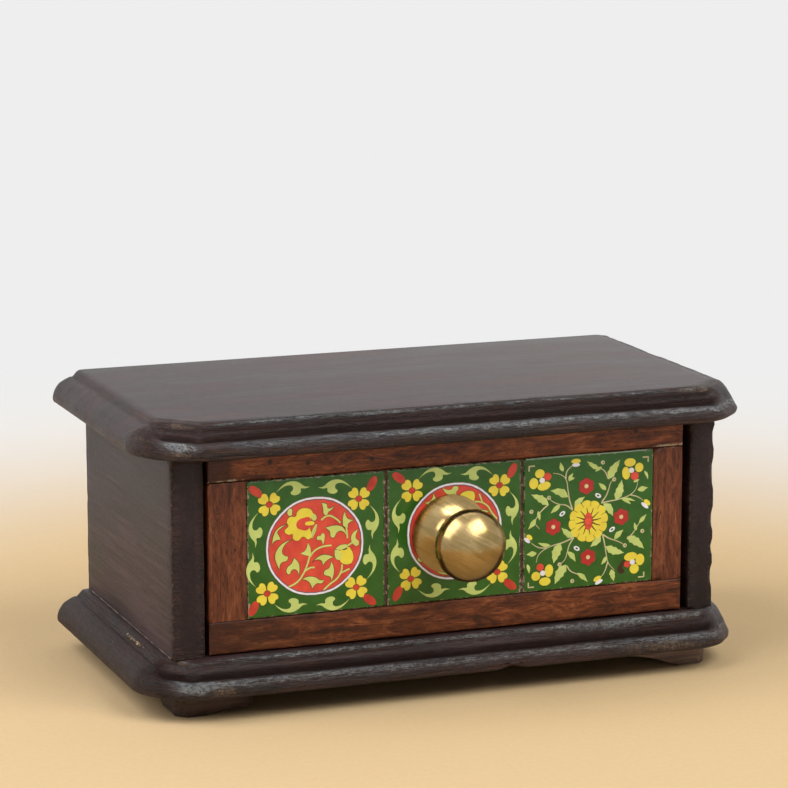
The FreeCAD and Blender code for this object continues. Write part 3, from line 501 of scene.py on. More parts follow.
def dent(piece, size, depth, name, soft_of):
    """Sink a skin unevenly inwards where soft_of says, and never outwards.

    size: how far apart the dents are; depth: how deep they go at most, both in mm.
    name: what the texture behind them is called."""
    group = piece.vertex_groups.new(name="soft")
    for vertex in piece.data.vertices:
        group.add([vertex.index], soft_of(*(vertex.co / MM)), "REPLACE")
    lumps = bpy.data.textures.new("lumps_" + name, "CLOUDS")
    lumps.noise_scale = size * MM
    lumps.noise_depth = 3
    push = piece.modifiers.new("dents", "DISPLACE")
    push.texture = lumps
    push.texture_coords = "LOCAL"
    push.mid_level = 1.0
    push.strength = depth * MM
    push.vertex_group = group.name
    pick(piece)
    bpy.ops.object.modifier_apply(modifier=push.name)
    piece.vertex_groups.clear()


# The third entry of a point at which a curve has a sharp tip.
TIP = 1


def add_outline(curve, points, closed):
    """Add a smooth line through points in mm to a curve, sharp at each TIP."""
    spline = curve.splines.new("BEZIER")
    spline.bezier_points.add(len(points) - 1)
    spline.use_cyclic_u = closed
    for knot, (x, z, *tip) in zip(spline.bezier_points, points):
        knot.co = (x * MM, z * MM, 0)
        knot.handle_left_type = knot.handle_right_type = "VECTOR" if tip else "AUTO"
    return spline


# The moulding's section, in mm out from the carcass face and down from the top of a board:
# a flat, a fascia that leans back, a hollow cove, and a bead.  Hand wear has flattened it at
# the two ends of a board into one round shoulder.  UNDER_EDGE is counted up from below.
OVERHANG = 12.4
FRONT_EDGE = [(0, 0, TIP), (1.9, 0, TIP), (2.75, -0.35), (3.9, -1.7), (4.85, -3.3),
              (5.2, -4.3, TIP), (5.6, -5.2), (6.5, -5.75), (7.5, -5.75), (8.2, -5.6, TIP),
              (9.9, -5.95), (11.25, -6.85), (12.1, -8.2), (OVERHANG, -9.6)]
LEFT_EDGE = [(0, 0, TIP), (1.9, 0, TIP), (2.8, -0.2), (3.5, -0.7), (4.0, -1.2),
             (4.3, -1.5, TIP), (4.8, -2.0), (5.6, -2.05), (6.8, -2.5), (8.0, -3.1, TIP),
             (9.8, -4.3), (11.3, -6.2), (12.1, -8.0), (OVERHANG, -9.6)]
RIGHT_EDGE = [(0, 0, TIP), (1.9, 0, TIP), (4.2, -0.1), (5.7, -0.5), (6.9, -1.3),
              (7.8, -2.3, TIP), (8.5, -3.3), (9.1, -4.3), (9.7, -5.2), (10.2, -6.0, TIP),
              (10.7, -7.0), (11.2, -8.0), (11.8, -9.2), (12.35, -10.2)]
UNDER_EDGE = [(12.25, 1.3), (11.6, 0.45), (10.3, 0, TIP), (0, 0, TIP)]
# Marks left by old knocks on the front of a board: x, z, half length and half height in mm,
# and how strong, where less than 0 takes wear away.
SCARS = {
    "top_board": {"wax_and_sheen": [(-102.5, 96.4, 3.6, 1.5, 1.5), (-90, 97.0, 7, 3.0, -0.8),
                           (-48, 102.9, 28, 0.8, 0.7), (-96, 102.9, 9, 0.9, -0.6)],
                  "rub": [(-103, 94.2, 4, 1.5, 0.9), (-111, 98, 4, 2.0, 0.9),
                          (-99, 101.6, 5, 1.2, 0.9), (94, 102.6, 6, 0.9, 1.4)],
                  "grime_and_shade": [(-109, 97.5, 2.6, 4.0, 0.5)]},
    "base_board": {"wax_and_sheen": [(-98, 13.6, 6.5, 2.2, 1.6), (-93, 20.2, 9, 1.2, -0.6),
                            (58, 18.6, 24, 1.5, 0.6)],
                   "rub": [(-99.5, 20.4, 2, 1.0, 1.4), (76, 12.0, 18, 3.5, 0.7),
                           (-88, 12.5, 4, 2.0, 1.2), (60, 18.4, 26, 1.4, 0.8),
                           (88, 20.2, 9, 1.4, 1.3)],
                   "grime_and_shade": [(-108, 14.0, 4.0, 4.5, 0.5)]},
}
# The radius to which hands have eased the corners of the moulding's line, and how much the
# front right corner is clipped.
CORNER_EASE = 7.0
CLIP_RIGHT = 8.5
DIAGONAL = math.sqrt(0.5)
# For each moulded board: the clip of its left corner, how far that corner stands out past the
# clip at the arris and at the bead, and the share of the overhang left at its right end.
BOARDS = {"top_board": (10.6, (-1.3, 1.6), 1.0), "base_board": (7.6, (0.9, 0.0), 0.85)}


def eased_run(corners, radius, step=math.inf):
    """Points along a line whose corners become arcs, none further apart than step."""
    arc_steps = 8
    line = [Vector(corners[0])]
    for before, corner, after in zip(corners, corners[1:], corners[2:]):
        back = (Vector(before) - Vector(corner)).normalized()
        ahead = (Vector(after) - Vector(corner)).normalized()
        half = back.angle(ahead) / 2
        leg = radius / math.tan(half)
        centre = Vector(corner) + (back + ahead).normalized() * radius / math.sin(half)
        for number in range(arc_steps + 1):
            spot = back.lerp(ahead, number / arc_steps) * leg + Vector(corner) - centre
            line.append(centre + spot.normalized() * radius)
    line.append(Vector(corners[-1]))
    fine = [line[0]]
    for start, end in zip(line, line[1:]):
        pieces = max(1, math.ceil((end - start).length / step))
        fine += [start.lerp(end, k / pieces) for k in range(1, pieces + 1)]
    return fine


def swept_moulding(name, upper_edge, thickness, line):
    """Sweep a moulding's whole section along a line, and close its two ends."""
    edge = bpy.data.curves.new(name + "_section", "CURVE")
    add_outline(edge, upper_edge + [(out, up - thickness, *tip)
                                    for out, up, *tip in UNDER_EDGE], True)
    edge.dimensions = "2D"
    edge.resolution_u = 5
    section = bpy.data.objects.new(name + "_section", edge)
    run = bpy.data.curves.new(name, "CURVE")
    run.dimensions = "3D"
    run.twist_mode = "Z_UP"
    run.bevel_mode = "OBJECT"
    run.bevel_object = section
    spline = run.splines.new("POLY")
    spline.points.add(len(line) - 1)
    for point, spot in zip(spline.points, line):
        point.co = (spot.x * MM, spot.y * MM, 0, 1)
    piece = bpy.data.objects.new(name, run)
    for made in (section, piece):
        bpy.context.scene.collection.objects.link(made)
    pick(piece)
    bpy.ops.object.convert(target="MESH")
    bpy.data.objects.remove(section)
    bpy.ops.object.mode_set(mode="EDIT")
    bpy.ops.mesh.select_all(action="SELECT")
    bpy.ops.mesh.remove_doubles(threshold=WELD)
    bpy.ops.mesh.fill_holes(sides=0)
    bpy.ops.mesh.select_all(action="SELECT")
    bpy.ops.mesh.normals_make_consistent(inside=False)
    bpy.ops.object.mode_set(mode="OBJECT")
    return piece


def trimmed_plank(node, line):
    """The board inside the moulding: the CAD piece cut back to the line all round."""
    plank = merged_copy(node, node + "_plank", 0)
    bpy.ops.object.mode_set(mode="EDIT")
    for start, end in zip(line, line[1:]):
        ahead = (end - start).normalized()
        bpy.ops.mesh.select_all(action="SELECT")
        bpy.ops.mesh.bisect(plane_co=(start.x * MM, start.y * MM, 0),
                            plane_no=(ahead.y, -ahead.x, 0), use_fill=True, clear_outer=True)
    bpy.ops.object.mode_set(mode="OBJECT")
    return plank


def beyond_faces(x, y, clip_left):
    """How far a point stands out, in mm, from the line of the carcass faces."""
    return max(LEFT - x, x - RIGHT, FRONT - y,
               (clip_left - (x - LEFT) - (y - FRONT)) * DIAGONAL,
               (CLIP_RIGHT - (RIGHT - x) - (y - FRONT)) * DIAGONAL)


def moulded_board(node):
    """A moulded board with the wear of its own corners and ends."""
    clip_left, (at_arris, at_bead), right_reach = BOARDS[node]
    is_top = node == "top_board"
    low, high = (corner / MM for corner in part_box(node))
    thickness = high.z - low.z
    corners = [(LEFT, BACK), (LEFT, FRONT + clip_left), (LEFT + clip_left, FRONT),
               (RIGHT - CLIP_RIGHT, FRONT), (RIGHT, FRONT + CLIP_RIGHT), (RIGHT, BACK)]
    line = eased_run(corners, CORNER_EASE, 2.0)
    piece = swept_moulding(node + "_worn", FRONT_EDGE, thickness, line)
    ends = {-1: swept_moulding(node + "_left_end", LEFT_EDGE, thickness, line),
            1: swept_moulding(node + "_right_end", RIGHT_EDGE, thickness, line)}
    for vertex in piece.data.vertices:
        end = -1 if vertex.co.x < 0 else 1
        worn = ends[end].data.vertices[vertex.index].co
        x, y, z = vertex.co / MM
        past = y - FRONT + (x - RIGHT if end > 0 else LEFT - x)
        ended = ease(past, -15, -4) if end > 0 else ease(past, clip_left * 0.2, clip_left + 3)
        x, y, z = vertex.co.lerp(worn, ended) / MM
        out = beyond_faces(x, y, clip_left)
        if x > RIGHT:
            x = RIGHT + (x - RIGHT) * right_reach
        if end < 0 and out > 0:
            across = ((x - LEFT) - (y - FRONT)) * DIAGONAL
            push = read_off(min(out, OVERHANG), [(0, 0), (2.6, at_arris), (8.4, at_bead),
                                                 (OVERHANG, at_bead)])
            push *= bump_at(across, 0, 10) * DIAGONAL
            x -= push
            y -= push
        if not is_top and out > 9 and z < -9.5:
            # A shallow notch in the lower arris, right of the middle.
            z += 0.9 * bump_at(x, 19, 3.5)
        vertex.co = Vector((x, y, z + high.z)) * MM
    for end in ends.values():
        bpy.data.objects.remove(end)
    plank = trimmed_plank(node, eased_run(corners, CORNER_EASE))
    pick(piece, plank)
    bpy.ops.object.join()

    def section(x, y, z):
        """Out from the faces and down from the top, in mm, and 1 along the front only."""
        return (beyond_faces(x, y, clip_left), high.z - z,
                ease(-y, -FRONT - clip_left, -FRONT))

    def scars(kind, x, y, z):
        """Marks of old knocks, which reach the front's bead, fascia and arris."""
        out, drop, _ = section(x, y, z)
        reached = out > (8 if drop > 4.5 else 1) and y < FRONT + clip_left
        return reached * sum(strength * bump_at(x, x0, length) * bump_at(z, z0, height)
                             for x0, z0, length, height, strength in SCARS[node][kind])

    def soft(x, y, z):
        return ease(beyond_faces(x, y, clip_left), 1.2, 3.5) * ease(z, low.z, low.z + 1.5)

    def rub(x, y, z):
        out, drop, front = section(x, y, z)
        arris = bump_at(out, 3.4, 1.2) * bump_at(drop, 0.9, 1.3)
        nose = bump_at(out, 12.0, 1.6) * bump_at(drop, 9.5, 2.6)
        worn = (0.35 + 0.65 * front) * min(1.0, 0.8 * arris + 0.75 * nose)
        return worn + scars("rub", x, y, z)

    # Pale wax on the arrises; along the crest, and on the base board's ledge, it is also painted
    # sheen.
    def wax_and_sheen(x, y, z):
        out, drop, front = section(x, y, z)
        arris = bump_at(out, 3.1, 0.8) * bump_at(drop, 0.7, 0.8)
        crest = bump_at(out, 10.2, 2.4) * bump_at(drop, 6.8, 2.1)
        ledge = 0 if is_top else 0.45 * bump_at(out, 3.2, 2.0) * bump_at(drop, 0.8, 1.6)
        front *= ease(x, LEFT - 5, LEFT + 3)
        worn = (0.12 + 0.88 * front) * min(1.0, 0.75 * arris + crest + ledge)
        return worn + scars("wax_and_sheen", x, y, z)

    # Painted shade in the cove, fainter on the fascia, and on the base board's left ledge under
    # the box; old grime where the scars say.
    def grime_and_shade(x, y, z):
        out, drop, front = section(x, y, z)
        cove = bump_at(out, 6.6, 2.0) * bump_at(drop, 5.4, 1.5)
        fascia = bump_at(out, 4.3, 1.4) * bump_at(drop, 2.6, 1.6) * (0.5 if is_top else 0.15)
        dust_and_shading = 0 if is_top else 0.3 * ease(LEFT - x, 0.5, 3.0) * (1 - front)
        return (0.2 + 0.8 * front) * max(cove, fascia) + dust_and_shading + scars("grime_and_shade", x, y, z)

    def course(x, y, z):
        hand = -1 if x < 0 else 1
        return x + hand * (y - FRONT), beyond_faces(x, y, clip_left), z

    mark(piece, rub, wax_and_sheen, grime_and_shade, course)
    dent(piece, 17.0, 0.6, node + "_long", soft)
    dent(piece, 3.5, 0.28, node + "_short", soft)
    smooth_below(piece, 38)
    return piece


def merged_copy(node, name, flatten=1):
    """A copy of a CAD piece as one closed skin; flatten: degrees within which faces join."""
    piece = nodes[node].copy()
    piece.data = nodes[node].data.copy()
    piece.name = name
    piece.data.name = name
    for key in list(piece.keys()):
        del piece[key]
    piece.parent = None
    bpy.context.scene.collection.objects.link(piece)
    pick(piece)
    bpy.ops.object.mode_set(mode="EDIT")
    bpy.ops.mesh.select_all(action="SELECT")
    bpy.ops.mesh.remove_doubles(threshold=CAD_WELD)
    if flatten:
        bpy.ops.mesh.dissolve_limited(angle_limit=math.radians(flatten))
    bpy.ops.object.mode_set(mode="OBJECT")
    return piece


def cut_across(piece, axis, step):
    """Cut a piece into short lengths along one axis, so that its arrises can wear unevenly."""
    direction = Vector([1.0 if a == axis else 0.0 for a in "XYZ"])
    reach = [v.co.dot(direction) / MM for v in piece.data.vertices]
    pick(piece)
    bpy.ops.object.mode_set(mode="EDIT")
    level = min(reach) + step / 2
    while level < max(reach):
        bpy.ops.mesh.select_all(action="SELECT")
        bpy.ops.mesh.bisect(plane_co=direction * level * MM, plane_no=direction)
        level += step
    bpy.ops.object.mode_set(mode="OBJECT")


def worn_block(node, step, depth, rub, grime_and_shade=nothing):
    """A square board or block whose arrises are worn a little out of true.

    step: how finely it is cut up; depth: how deep the wear goes, both in mm."""
    piece = merged_copy(node, node + "_worn")
    for axis in "XYZ":
        cut_across(piece, axis, step)
    mark(piece, rub=rub, grime_and_shade=grime_and_shade)
    dent(piece, 7.0, depth, node, rub)
    smooth_below(piece, 40)
    return piece


def near_arris(node, width):
    """A rule: 1 on the outer arrises of a node's own box, and 0 away from them."""
    low, high = (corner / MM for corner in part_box(node))

    def rule(x, y, z):
        gaps = sorted(min(abs(p - a), abs(p - b)) for p, a, b in zip((x, y, z), low, high))
        return bump_at(gaps[1], 0.0, width)
    return rule


def settle(piece, body, material, node=None):
    """Hand a finished piece over: what it rides on, is made of and, if anything, stands for."""
    wear(piece, material)
    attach(piece, body)
    if node:
        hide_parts(node)


# ---------------------------------------------------------------- painting the tiles
def moved(points, at=(0, 0), turn=0, size=1, flip=1):
    """Points turned by degrees, scaled, mirrored left to right when flip is -1, and moved."""
    cos = math.cos(math.radians(turn)) * size
    sin = math.sin(math.radians(turn)) * size
    return [(at[0] + x * flip * cos - z * sin, at[1] + x * flip * sin + z * cos, *rest)
            for x, z, *rest in points]


def ellipse(at, across, up, turn=0):
    """The outline of an ellipse by its two half widths, turned by degrees."""
    ring = [(across * math.cos(a * math.pi / 4), up * math.sin(a * math.pi / 4))
            for a in range(8)]
    return moved(ring, at, turn)


def leaf(base, tip, width, bend=0.0, teeth=0):
    """A pointed leaf's outline, widest a third of the way up, with saw teeth if it has any."""
    run = Vector(tip) - Vector(base)
    side = Vector((-run.y, run.x)).normalized()
    count = 2 * teeth if teeth else 5
    edges = []
    for hand in (1, -1):
        edge = []
        for k in range(1, count):
            t = k / count
            half = width / 2 * math.sin(math.pi * t ** 0.75)
            spiky = teeth and k % 2 == 0
            half *= 1.18 if spiky else 0.92 if teeth else 1.0
            spot = Vector(base) + run * t + side * (hand * half + bend * math.sin(math.pi * t))
            edge.append((spot.x, spot.y, TIP) if spiky else (spot.x, spot.y))
        edges.append(edge)
    return [(*base, TIP), *edges[0], (*tip, TIP), *reversed(edges[1])]


# How far a patch of glaze reaches down into the tile, in mm, so that no gap shows.
SUNK = 0.02


def patch(points, lift, holes=()):
    """A filled patch of glaze whose face stands at lift above the tile."""
    curve = bpy.data.curves.new("stroke", "CURVE")
    for outline in (points, *holes):
        add_outline(curve, outline, True)
    curve.dimensions = "2D"
    curve.fill_mode = "BOTH"
    curve.resolution_u = 5
    curve.extrude = (lift / 2 + SUNK) * MM
    piece = bpy.data.objects.new("glaze", curve)
    piece.location.z = (lift / 2 - SUNK) * MM
    return piece


def line(points, width, lift, closed=False, taper=False):
    """A trailed line of glaze, half sunk, tapering towards its end where asked."""
    curve = bpy.data.curves.new("stroke", "CURVE")
    spline = add_outline(curve, points, closed)
    curve.dimensions = "3D"
    curve.bevel_depth = width / 2 * MM
    curve.bevel_resolution = 1
    curve.resolution_u = 4
    curve.use_fill_caps = True
    last = len(points) - 1
    for number, knot in enumerate(spline.bezier_points):
        knot.radius = 1 - 0.65 * number / last if taper else 1
    piece = bpy.data.objects.new("glaze", curve)
    piece.scale.z = 0.3
    piece.location.z = lift * MM
    return piece


def lay_on_tile(tile, glaze, pieces, material):
    """Turn the strokes of one colour into one mesh and set it on its tile."""
    for piece in pieces:
        bpy.context.scene.collection.objects.link(piece)
    pick(*pieces)
    bpy.ops.object.convert(target="MESH")
    bpy.ops.object.join()
    painted = bpy.context.view_layer.objects.active
    painted.name = tile + "_" + glaze
    lower_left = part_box(tile)[0]
    painted.matrix_world = (Matrix.Translation(lower_left)
                            @ Matrix.Rotation(math.pi / 2, 4, "X") @ painted.matrix_world)
    bpy.ops.object.transform_apply(location=True, rotation=True, scale=True)
    bpy.ops.object.mode_set(mode="EDIT")
    bpy.ops.mesh.select_all(action="SELECT")
    bpy.ops.mesh.remove_doubles(threshold=WELD)
    bpy.ops.mesh.normals_make_consistent(inside=False)
    bpy.ops.object.mode_set(mode="OBJECT")
    smooth_below(painted, 35)
    settle(painted, "drawer", material)


def together(*layers):
    """Join several sets of strokes, colour by colour."""
    joined = {}
    for layer in layers:
        for glaze, pieces in layer.items():
            joined.setdefault(glaze, []).extend(pieces)
    return joined


# All strokes are points in mm.  Those of one colour that may overlap lie a few thousandths
# of a millimetre apart in height, so that no two faces meet.
# One scroll leaf of the border and one petal of a corner flower, from that flower's middle.
SCROLL = [(2.5, 3.9, TIP), (4.7, 6.1), (6.7, 7.2), (9.2, 7.4), (11.2, 6.6), (13.0, 5.3),
          (14.8, 5.1, TIP), (12.9, 4.6), (11.5, 4.6), (11.4, 3.5), (10.1, 2.6), (8.2, 2.8),
          (7.8, 3.5), (8.6, 4.4), (8.4, 5.7), (6.4, 6.1), (4.4, 5.3)]
HEART_PETAL = [(0, 0.3, TIP), (0.9, 1.2), (1.75, 2.4), (1.85, 3.5), (1.1, 4.3),
               (0, 3.95, TIP), (-1.1, 4.3), (-1.85, 3.5), (-1.75, 2.4), (-0.9, 1.2)]

# The vine in the roundel, from the middle of the disc.
VINE_LINES = [
    [(-9.7, -13.7), (-6.6, -12.3), (-4.6, -10.0), (-3.1, -7.0), (-2.2, -4.2), (-1.7, -1.5)],
    [(-2.2, -4.0), (-0.4, -1.9), (2.3, -0.6), (6.0, -0.3)],
    [(-3.4, -8.4), (-1.8, -7.6), (-0.2, -7.6)],
    [(3.1, -15.9), (5.7, -13.8), (7.9, -12.4), (9.7, -9.4), (9.9, -7.4)],
    [(9.4, -10.4), (12.6, -9.2)],
    [(12.0, -0.9), (14.0, 0.2)],
    [(11.9, 1.8), (11.6, 4.6), (11.2, 7.2)],
    [(2.3, 9.0), (4.7, 10.3), (7.4, 9.2), (9.3, 7.5)],
    [(-1.4, 3.0), (-0.6, 5.6), (0.6, 7.6)],
]
VINE_LEAVES = [
    [(-1.2, -5.8, TIP), (0.6, -4.2), (2.8, -3.3), (5.0, -3.6), (6.9, -4.5, TIP), (4.6, -5.4),
     (2.8, -7.2, TIP), (2.2, -5.4), (0.4, -5.0)],
    [(-8.1, 3.1, TIP), (-11.3, 2.2), (-13.6, 0.2), (-14.6, -2.4), (-14.1, -4.9),
     (-13.0, -7.5, TIP), (-12.3, -5.0), (-10.2, -4.3), (-9.7, -2.9, TIP), (-11.7, -1.8),
     (-11.8, -0.2), (-10.4, 1.8)],
    [(-9.8, 8.6, TIP), (-12.8, 7.8), (-14.8, 5.6), (-15.8, 1.4, TIP), (-14.6, 2.9),
     (-12.4, 3.3, TIP), (-13.1, 4.9), (-13.6, 6.0), (-12.4, 7.2)],
    [(-10.1, 12.7), (-8.6, 14.0), (-8.2, 11.6, TIP), (-9.3, 11.3)],
    [(-5.9, -10.2, TIP), (-5.6, -7.4), (-5.9, -5.6), (-7.6, -3.4, TIP), (-8.6, -5.4),
     (-10.2, -6.8), (-10.4, -8.6), (-9.4, -9.3), (-8.4, -7.8), (-6.9, -7.9)],
    [(-5.0, -11.4, TIP), (-2.7, -10.6), (0.2, -11.1), (1.6, -12.1), (3.4, -12.4, TIP),
     (2.4, -13.5), (0.6, -13.4), (-1.1, -15.1, TIP), (-1.9, -13.2), (-3.0, -12.0)],
    [(6.0, -13.2, TIP), (6.9, -10.4), (6.8, -7.8), (5.9, -5.8, TIP), (5.1, -8.2),
     (3.5, -9.0), (3.2, -10.4), (4.4, -11.0), (5.4, -11.4)],
    [(3.7, 6.2, TIP), (6.7, 6.7), (9.2, 6.4), (10.6, 5.4), (11.9, 2.2, TIP), (9.7, 4.5),
     (8.0, 4.0), (6.9, 2.4), (5.8, 2.7), (5.4, 4.6)],
    [(10.2, 6.4, TIP), (10.2, 9.4), (11.0, 11.5, TIP), (11.9, 8.9), (14.2, 8.0, TIP),
     (12.2, 6.8), (11.9, 5.4)],
    [(2.5, 15.1, TIP), (4.4, 14.4), (4.8, 13.0), (7.3, 13.6, TIP), (6.0, 12.2), (4.9, 11.5),
     (4.5, 10.6), (3.3, 10.9), (3.0, 12.8)],
    [(15.7, 4.6, TIP), (13.8, 3.3), (13.2, 1.2), (14.3, -0.8), (15.6, -1.2), (16.1, 0.2),
     (14.9, 1.6)],
    [(-5.3, -2.2, TIP), (-3.6, -1.3), (-2.5, 1.4, TIP), (-1.6, -1.2), (-2.0, -3.2),
     (-3.4, -3.0)],
    [(1.9, 3.4), (3.0, 4.3), (3.4, 1.8), (2.9, 0.1, TIP), (2.2, 1.9), (0.8, 2.2), (1.0, 3.4)],
    [(-0.8, 11.8, TIP), (0.6, 10.4), (0.0, 9.0), (-1.2, 9.8)],
    [(-1.2, 2.2, TIP), (-0.4, 5.0), (0.9, 7.6, TIP), (0.3, 5.4), (-0.6, 3.4)],
    [(7.4, -1.6, TIP), (9.7, -0.4), (12.0, -0.9), (11.8, -1.9), (9.2, -2.2)],
    [(7.2, -2.0, TIP), (8.8, -2.3), (9.0, -5.6), (7.6, -5.1)],
]
LOTUS = [(-1.4, 9.6), (-0.9, 12.2), (-3.8, 13.7), (-6.4, 12.6), (-7.0, 11.0), (-9.0, 11.0),
         (-10.2, 9.2), (-9.6, 7.9), (-11.0, 6.2), (-9.6, 4.8), (-8.2, 4.9), (-8.0, 3.3),
         (-6.4, 2.4), (-4.4, 3.7), (-2.2, 2.6), (-1.3, 4.6), (-1.8, 6.2)]
LOTUS_EYE = [(-1.8, 10.1), (-4.2, 10.3), (-6.4, 9.2), (-6.7, 7.4), (-5.4, 6.3), (-2.4, 6.2)]
LOTUS_TONGUE = [(-3.6, 8.2), (-2.2, 8.9), (-0.4, 8.6), (-0.2, 8.0), (-2.0, 7.5)]
BUD = [(8.7, -2.6, TIP), (10.6, -1.9), (12.5, -1.4, TIP), (13.8, -3.6), (13.6, -6.8),
       (12.8, -7.4), (9.8, -6.9), (8.9, -5.4)]


def roundel(at, turn):
    """The white ring, the red disc and the vine, flower and bud on it, by colour."""
    ring = ellipse(at, 17.75, 17.3)
    disc = ellipse(at, 16.95, 16.5)
    green = [patch(moved(shape, at, turn), 0.14 + 0.002 * n)
             for n, shape in enumerate(VINE_LEAVES)]
    green += [line(moved(run, at, turn), 0.62, 0.12 + 0.001 * n)
              for n, run in enumerate(VINE_LINES)]
    yellow = [patch(moved(LOTUS, at, turn), 0.2), patch(moved(BUD, at, turn), 0.17),
              patch(moved(LOTUS_TONGUE, at, turn), 0.28)]
    red = [patch(disc, 0.07), patch(moved(LOTUS_EYE, at, turn), 0.24)]
    shade = [line(moved(shape, at, turn), 0.3, 0.12, closed=True)
             for shape in (*VINE_LEAVES, LOTUS, BUD, LOTUS_EYE, LOTUS_TONGUE)]
    shade += [line(moved(run, at, turn), 0.95, 0.03) for run in VINE_LINES]
    rims = [line(ellipse(at, 17.8, 17.35), 0.22, 0.08, closed=True),
            line(ellipse(at, 16.95, 16.5), 0.34, 0.1, closed=True)]
    return {"leaf": green, "yellow": yellow, "red": red, "shade": shade, "rim": rims,
            "white": [patch(ring, 0.11, holes=[disc])]}


def border(flowers):
    """Four corner flowers with their buds and scrolls.

    flowers: for each, the corner it faces, right and up as 1 or -1, its middle and turn."""
    green, yellow, red, shade = [], [], [], []
    for (right, up), at, turn in flowers:
        for number in range(4):
            petal = moved(moved(HEART_PETAL, turn=45 + 90 * number + turn), at)
            yellow.append(patch(petal, 0.12 + 0.004 * number))
            shade.append(line(petal, 0.16, 0.07, closed=True))
        red.append(patch(ellipse(at, 1.15, 1.05), 0.18))
        shade.append(line(ellipse(at, 1.2, 1.1), 0.18, 0.13, closed=True))
        outward = (at[0] + right * 4.9, at[1] + up * 4.9)
        lean = 62 if right * up > 0 else -38
        red.append(patch(ellipse(outward, 2.9, 1.45, lean), 0.12))
        upright = [(at[0] - right * a, at[1] + up * b, *tip) for a, b, *tip in SCROLL]
        level = [(at[0] + right * b, at[1] - up * a, *tip) for a, b, *tip in SCROLL]
        green += [patch(upright, 0.1), patch(level, 0.103)]
    return {"pale_leaf": green, "yellow": yellow, "bud_red": red, "shade": shade}


# The third tile: one petal of its big flower, from that flower's middle, and the rest from
# the tile's lower left corner.
SUN_PETAL = [(0, 1.0, TIP), (1.2, 3.6), (2.0, 5.6), (1.7, 7.0), (0.5, 7.6), (-0.9, 7.4),
             (-1.9, 6.5), (-2.0, 5.2), (-1.1, 3.2)]
RED_FLOWERS = ((23.9, 36.8), (37.6, 24.5), (11.2, 23.0), (24.8, 10.8))
# Each pansy's heart, its bud with a radius, and its petals' middles, half widths and turns.
PANSIES = [
    ((6.8, 40.2), (8.9, 41.4, 1.45), [(5.9, 42.7, 1.8, 1.6, 0), (3.6, 39.3, 1.7, 2.0, 0),
                                      (7.6, 38.1, 2.5, 1.5, 12)]),
    ((41.4, 41.2), (42.7, 39.0, 1.55), [(40.8, 44.1, 2.2, 1.5, 0),
                                        (44.4, 42.0, 1.6, 1.7, 0),
                                        (39.3, 40.3, 1.5, 2.3, 8)]),
    ((7.3, 6.5), (6.3, 8.7, 1.4), [(9.7, 7.2, 1.6, 2.3, -6), (4.7, 5.6, 1.7, 1.6, 0),
                                   (8.2, 3.4, 2.2, 1.5, 0)]),
    ((42.2, 7.5), (40.1, 6.9, 1.2), [(41.5, 9.6, 2.5, 1.5, 8), (45.2, 8.2, 1.7, 2.1, 0),
                                     (43.0, 5.0, 1.8, 1.8, 0)]),
]
# Side buds: x, z, half widths of the gold and the pale half, and the turn.
SIDE_BUDS = ((19.8, 45.4, 1.8, 1.5, 0), (47.2, 28.4, 1.5, 1.7, -40),
             (1.6, 19.4, 1.3, 1.4, -40), (28.9, 1.9, 1.6, 1.6, 25))
# White seeds: x, z and turn.
SEEDS = ((28.5, 33.0, -30), (14.7, 27.5, 35), (20.4, 14.4, -30), (34.1, 20.2, 35))
STEMS = [
    [(18.7, 28.5), (17.5, 32.0), (16.8, 36.0), (15.9, 40.0), (14.2, 41.6), (11.0, 42.5)],
    [(15.9, 40.0), (16.3, 42.6), (17.8, 44.2), (19.0, 44.8)],
    [(18.7, 28.5), (16.0, 30.5), (13.5, 31.0), (11.0, 32.2), (9.4, 33.6)],
    [(9.3, 31.3), (6.5, 29.0), (5.0, 27.0), (4.2, 25.4), (6.0, 22.6)],
    [(29.7, 30.2), (33.0, 30.6), (37.0, 31.1), (41.0, 32.3), (43.2, 34.2), (44.0, 37.4)],
    [(41.0, 32.3), (44.0, 31.3), (46.2, 29.8)],
    [(30.0, 30.6), (31.6, 32.6), (32.6, 35.0), (33.4, 37.4), (34.6, 38.6)],
    [(30.4, 18.7), (33.0, 17.0), (36.0, 15.8), (38.2, 14.6), (39.2, 13.6)],
    [(40.0, 16.2), (42.0, 17.8), (43.6, 20.0), (46.2, 24.0)],
    [(30.4, 18.7), (31.3, 15.0), (32.0, 11.0), (32.8, 8.0), (35.2, 5.2)],
    [(32.6, 8.4), (31.2, 4.6), (29.6, 2.6)],
    [(19.2, 18.5), (15.0, 17.0), (11.0, 16.2), (7.5, 14.8), (5.5, 13.0), (4.8, 10.6)],
    [(9.0, 15.5), (5.6, 16.0), (2.8, 17.8)],
    [(19.2, 18.4), (17.4, 15.6), (16.8, 13.4), (15.6, 10.4), (13.8, 9.2)],
    [(16.6, 8.4), (18.0, 6.4), (21.0, 4.8), (24.4, 2.2)],
    [(32.4, 38.8), (31.0, 41.6), (28.6, 43.2), (25.2, 44.8)],
]
CURLS = ((9.5, 33.7), (34.7, 38.4), (39.2, 13.9), (13.8, 9.1), (30.2, 44.9), (46.0, 18.6),
         (18.8, 2.6), (2.8, 29.2))
# The small brackets in the corners: x, z and the way that they open.
BRACKETS = ((1.8, 45.6, 1, -1), (47.9, 45.6, -1, -1), (1.8, 1.7, 1, 1), (46.8, 1.7, -1, 1))
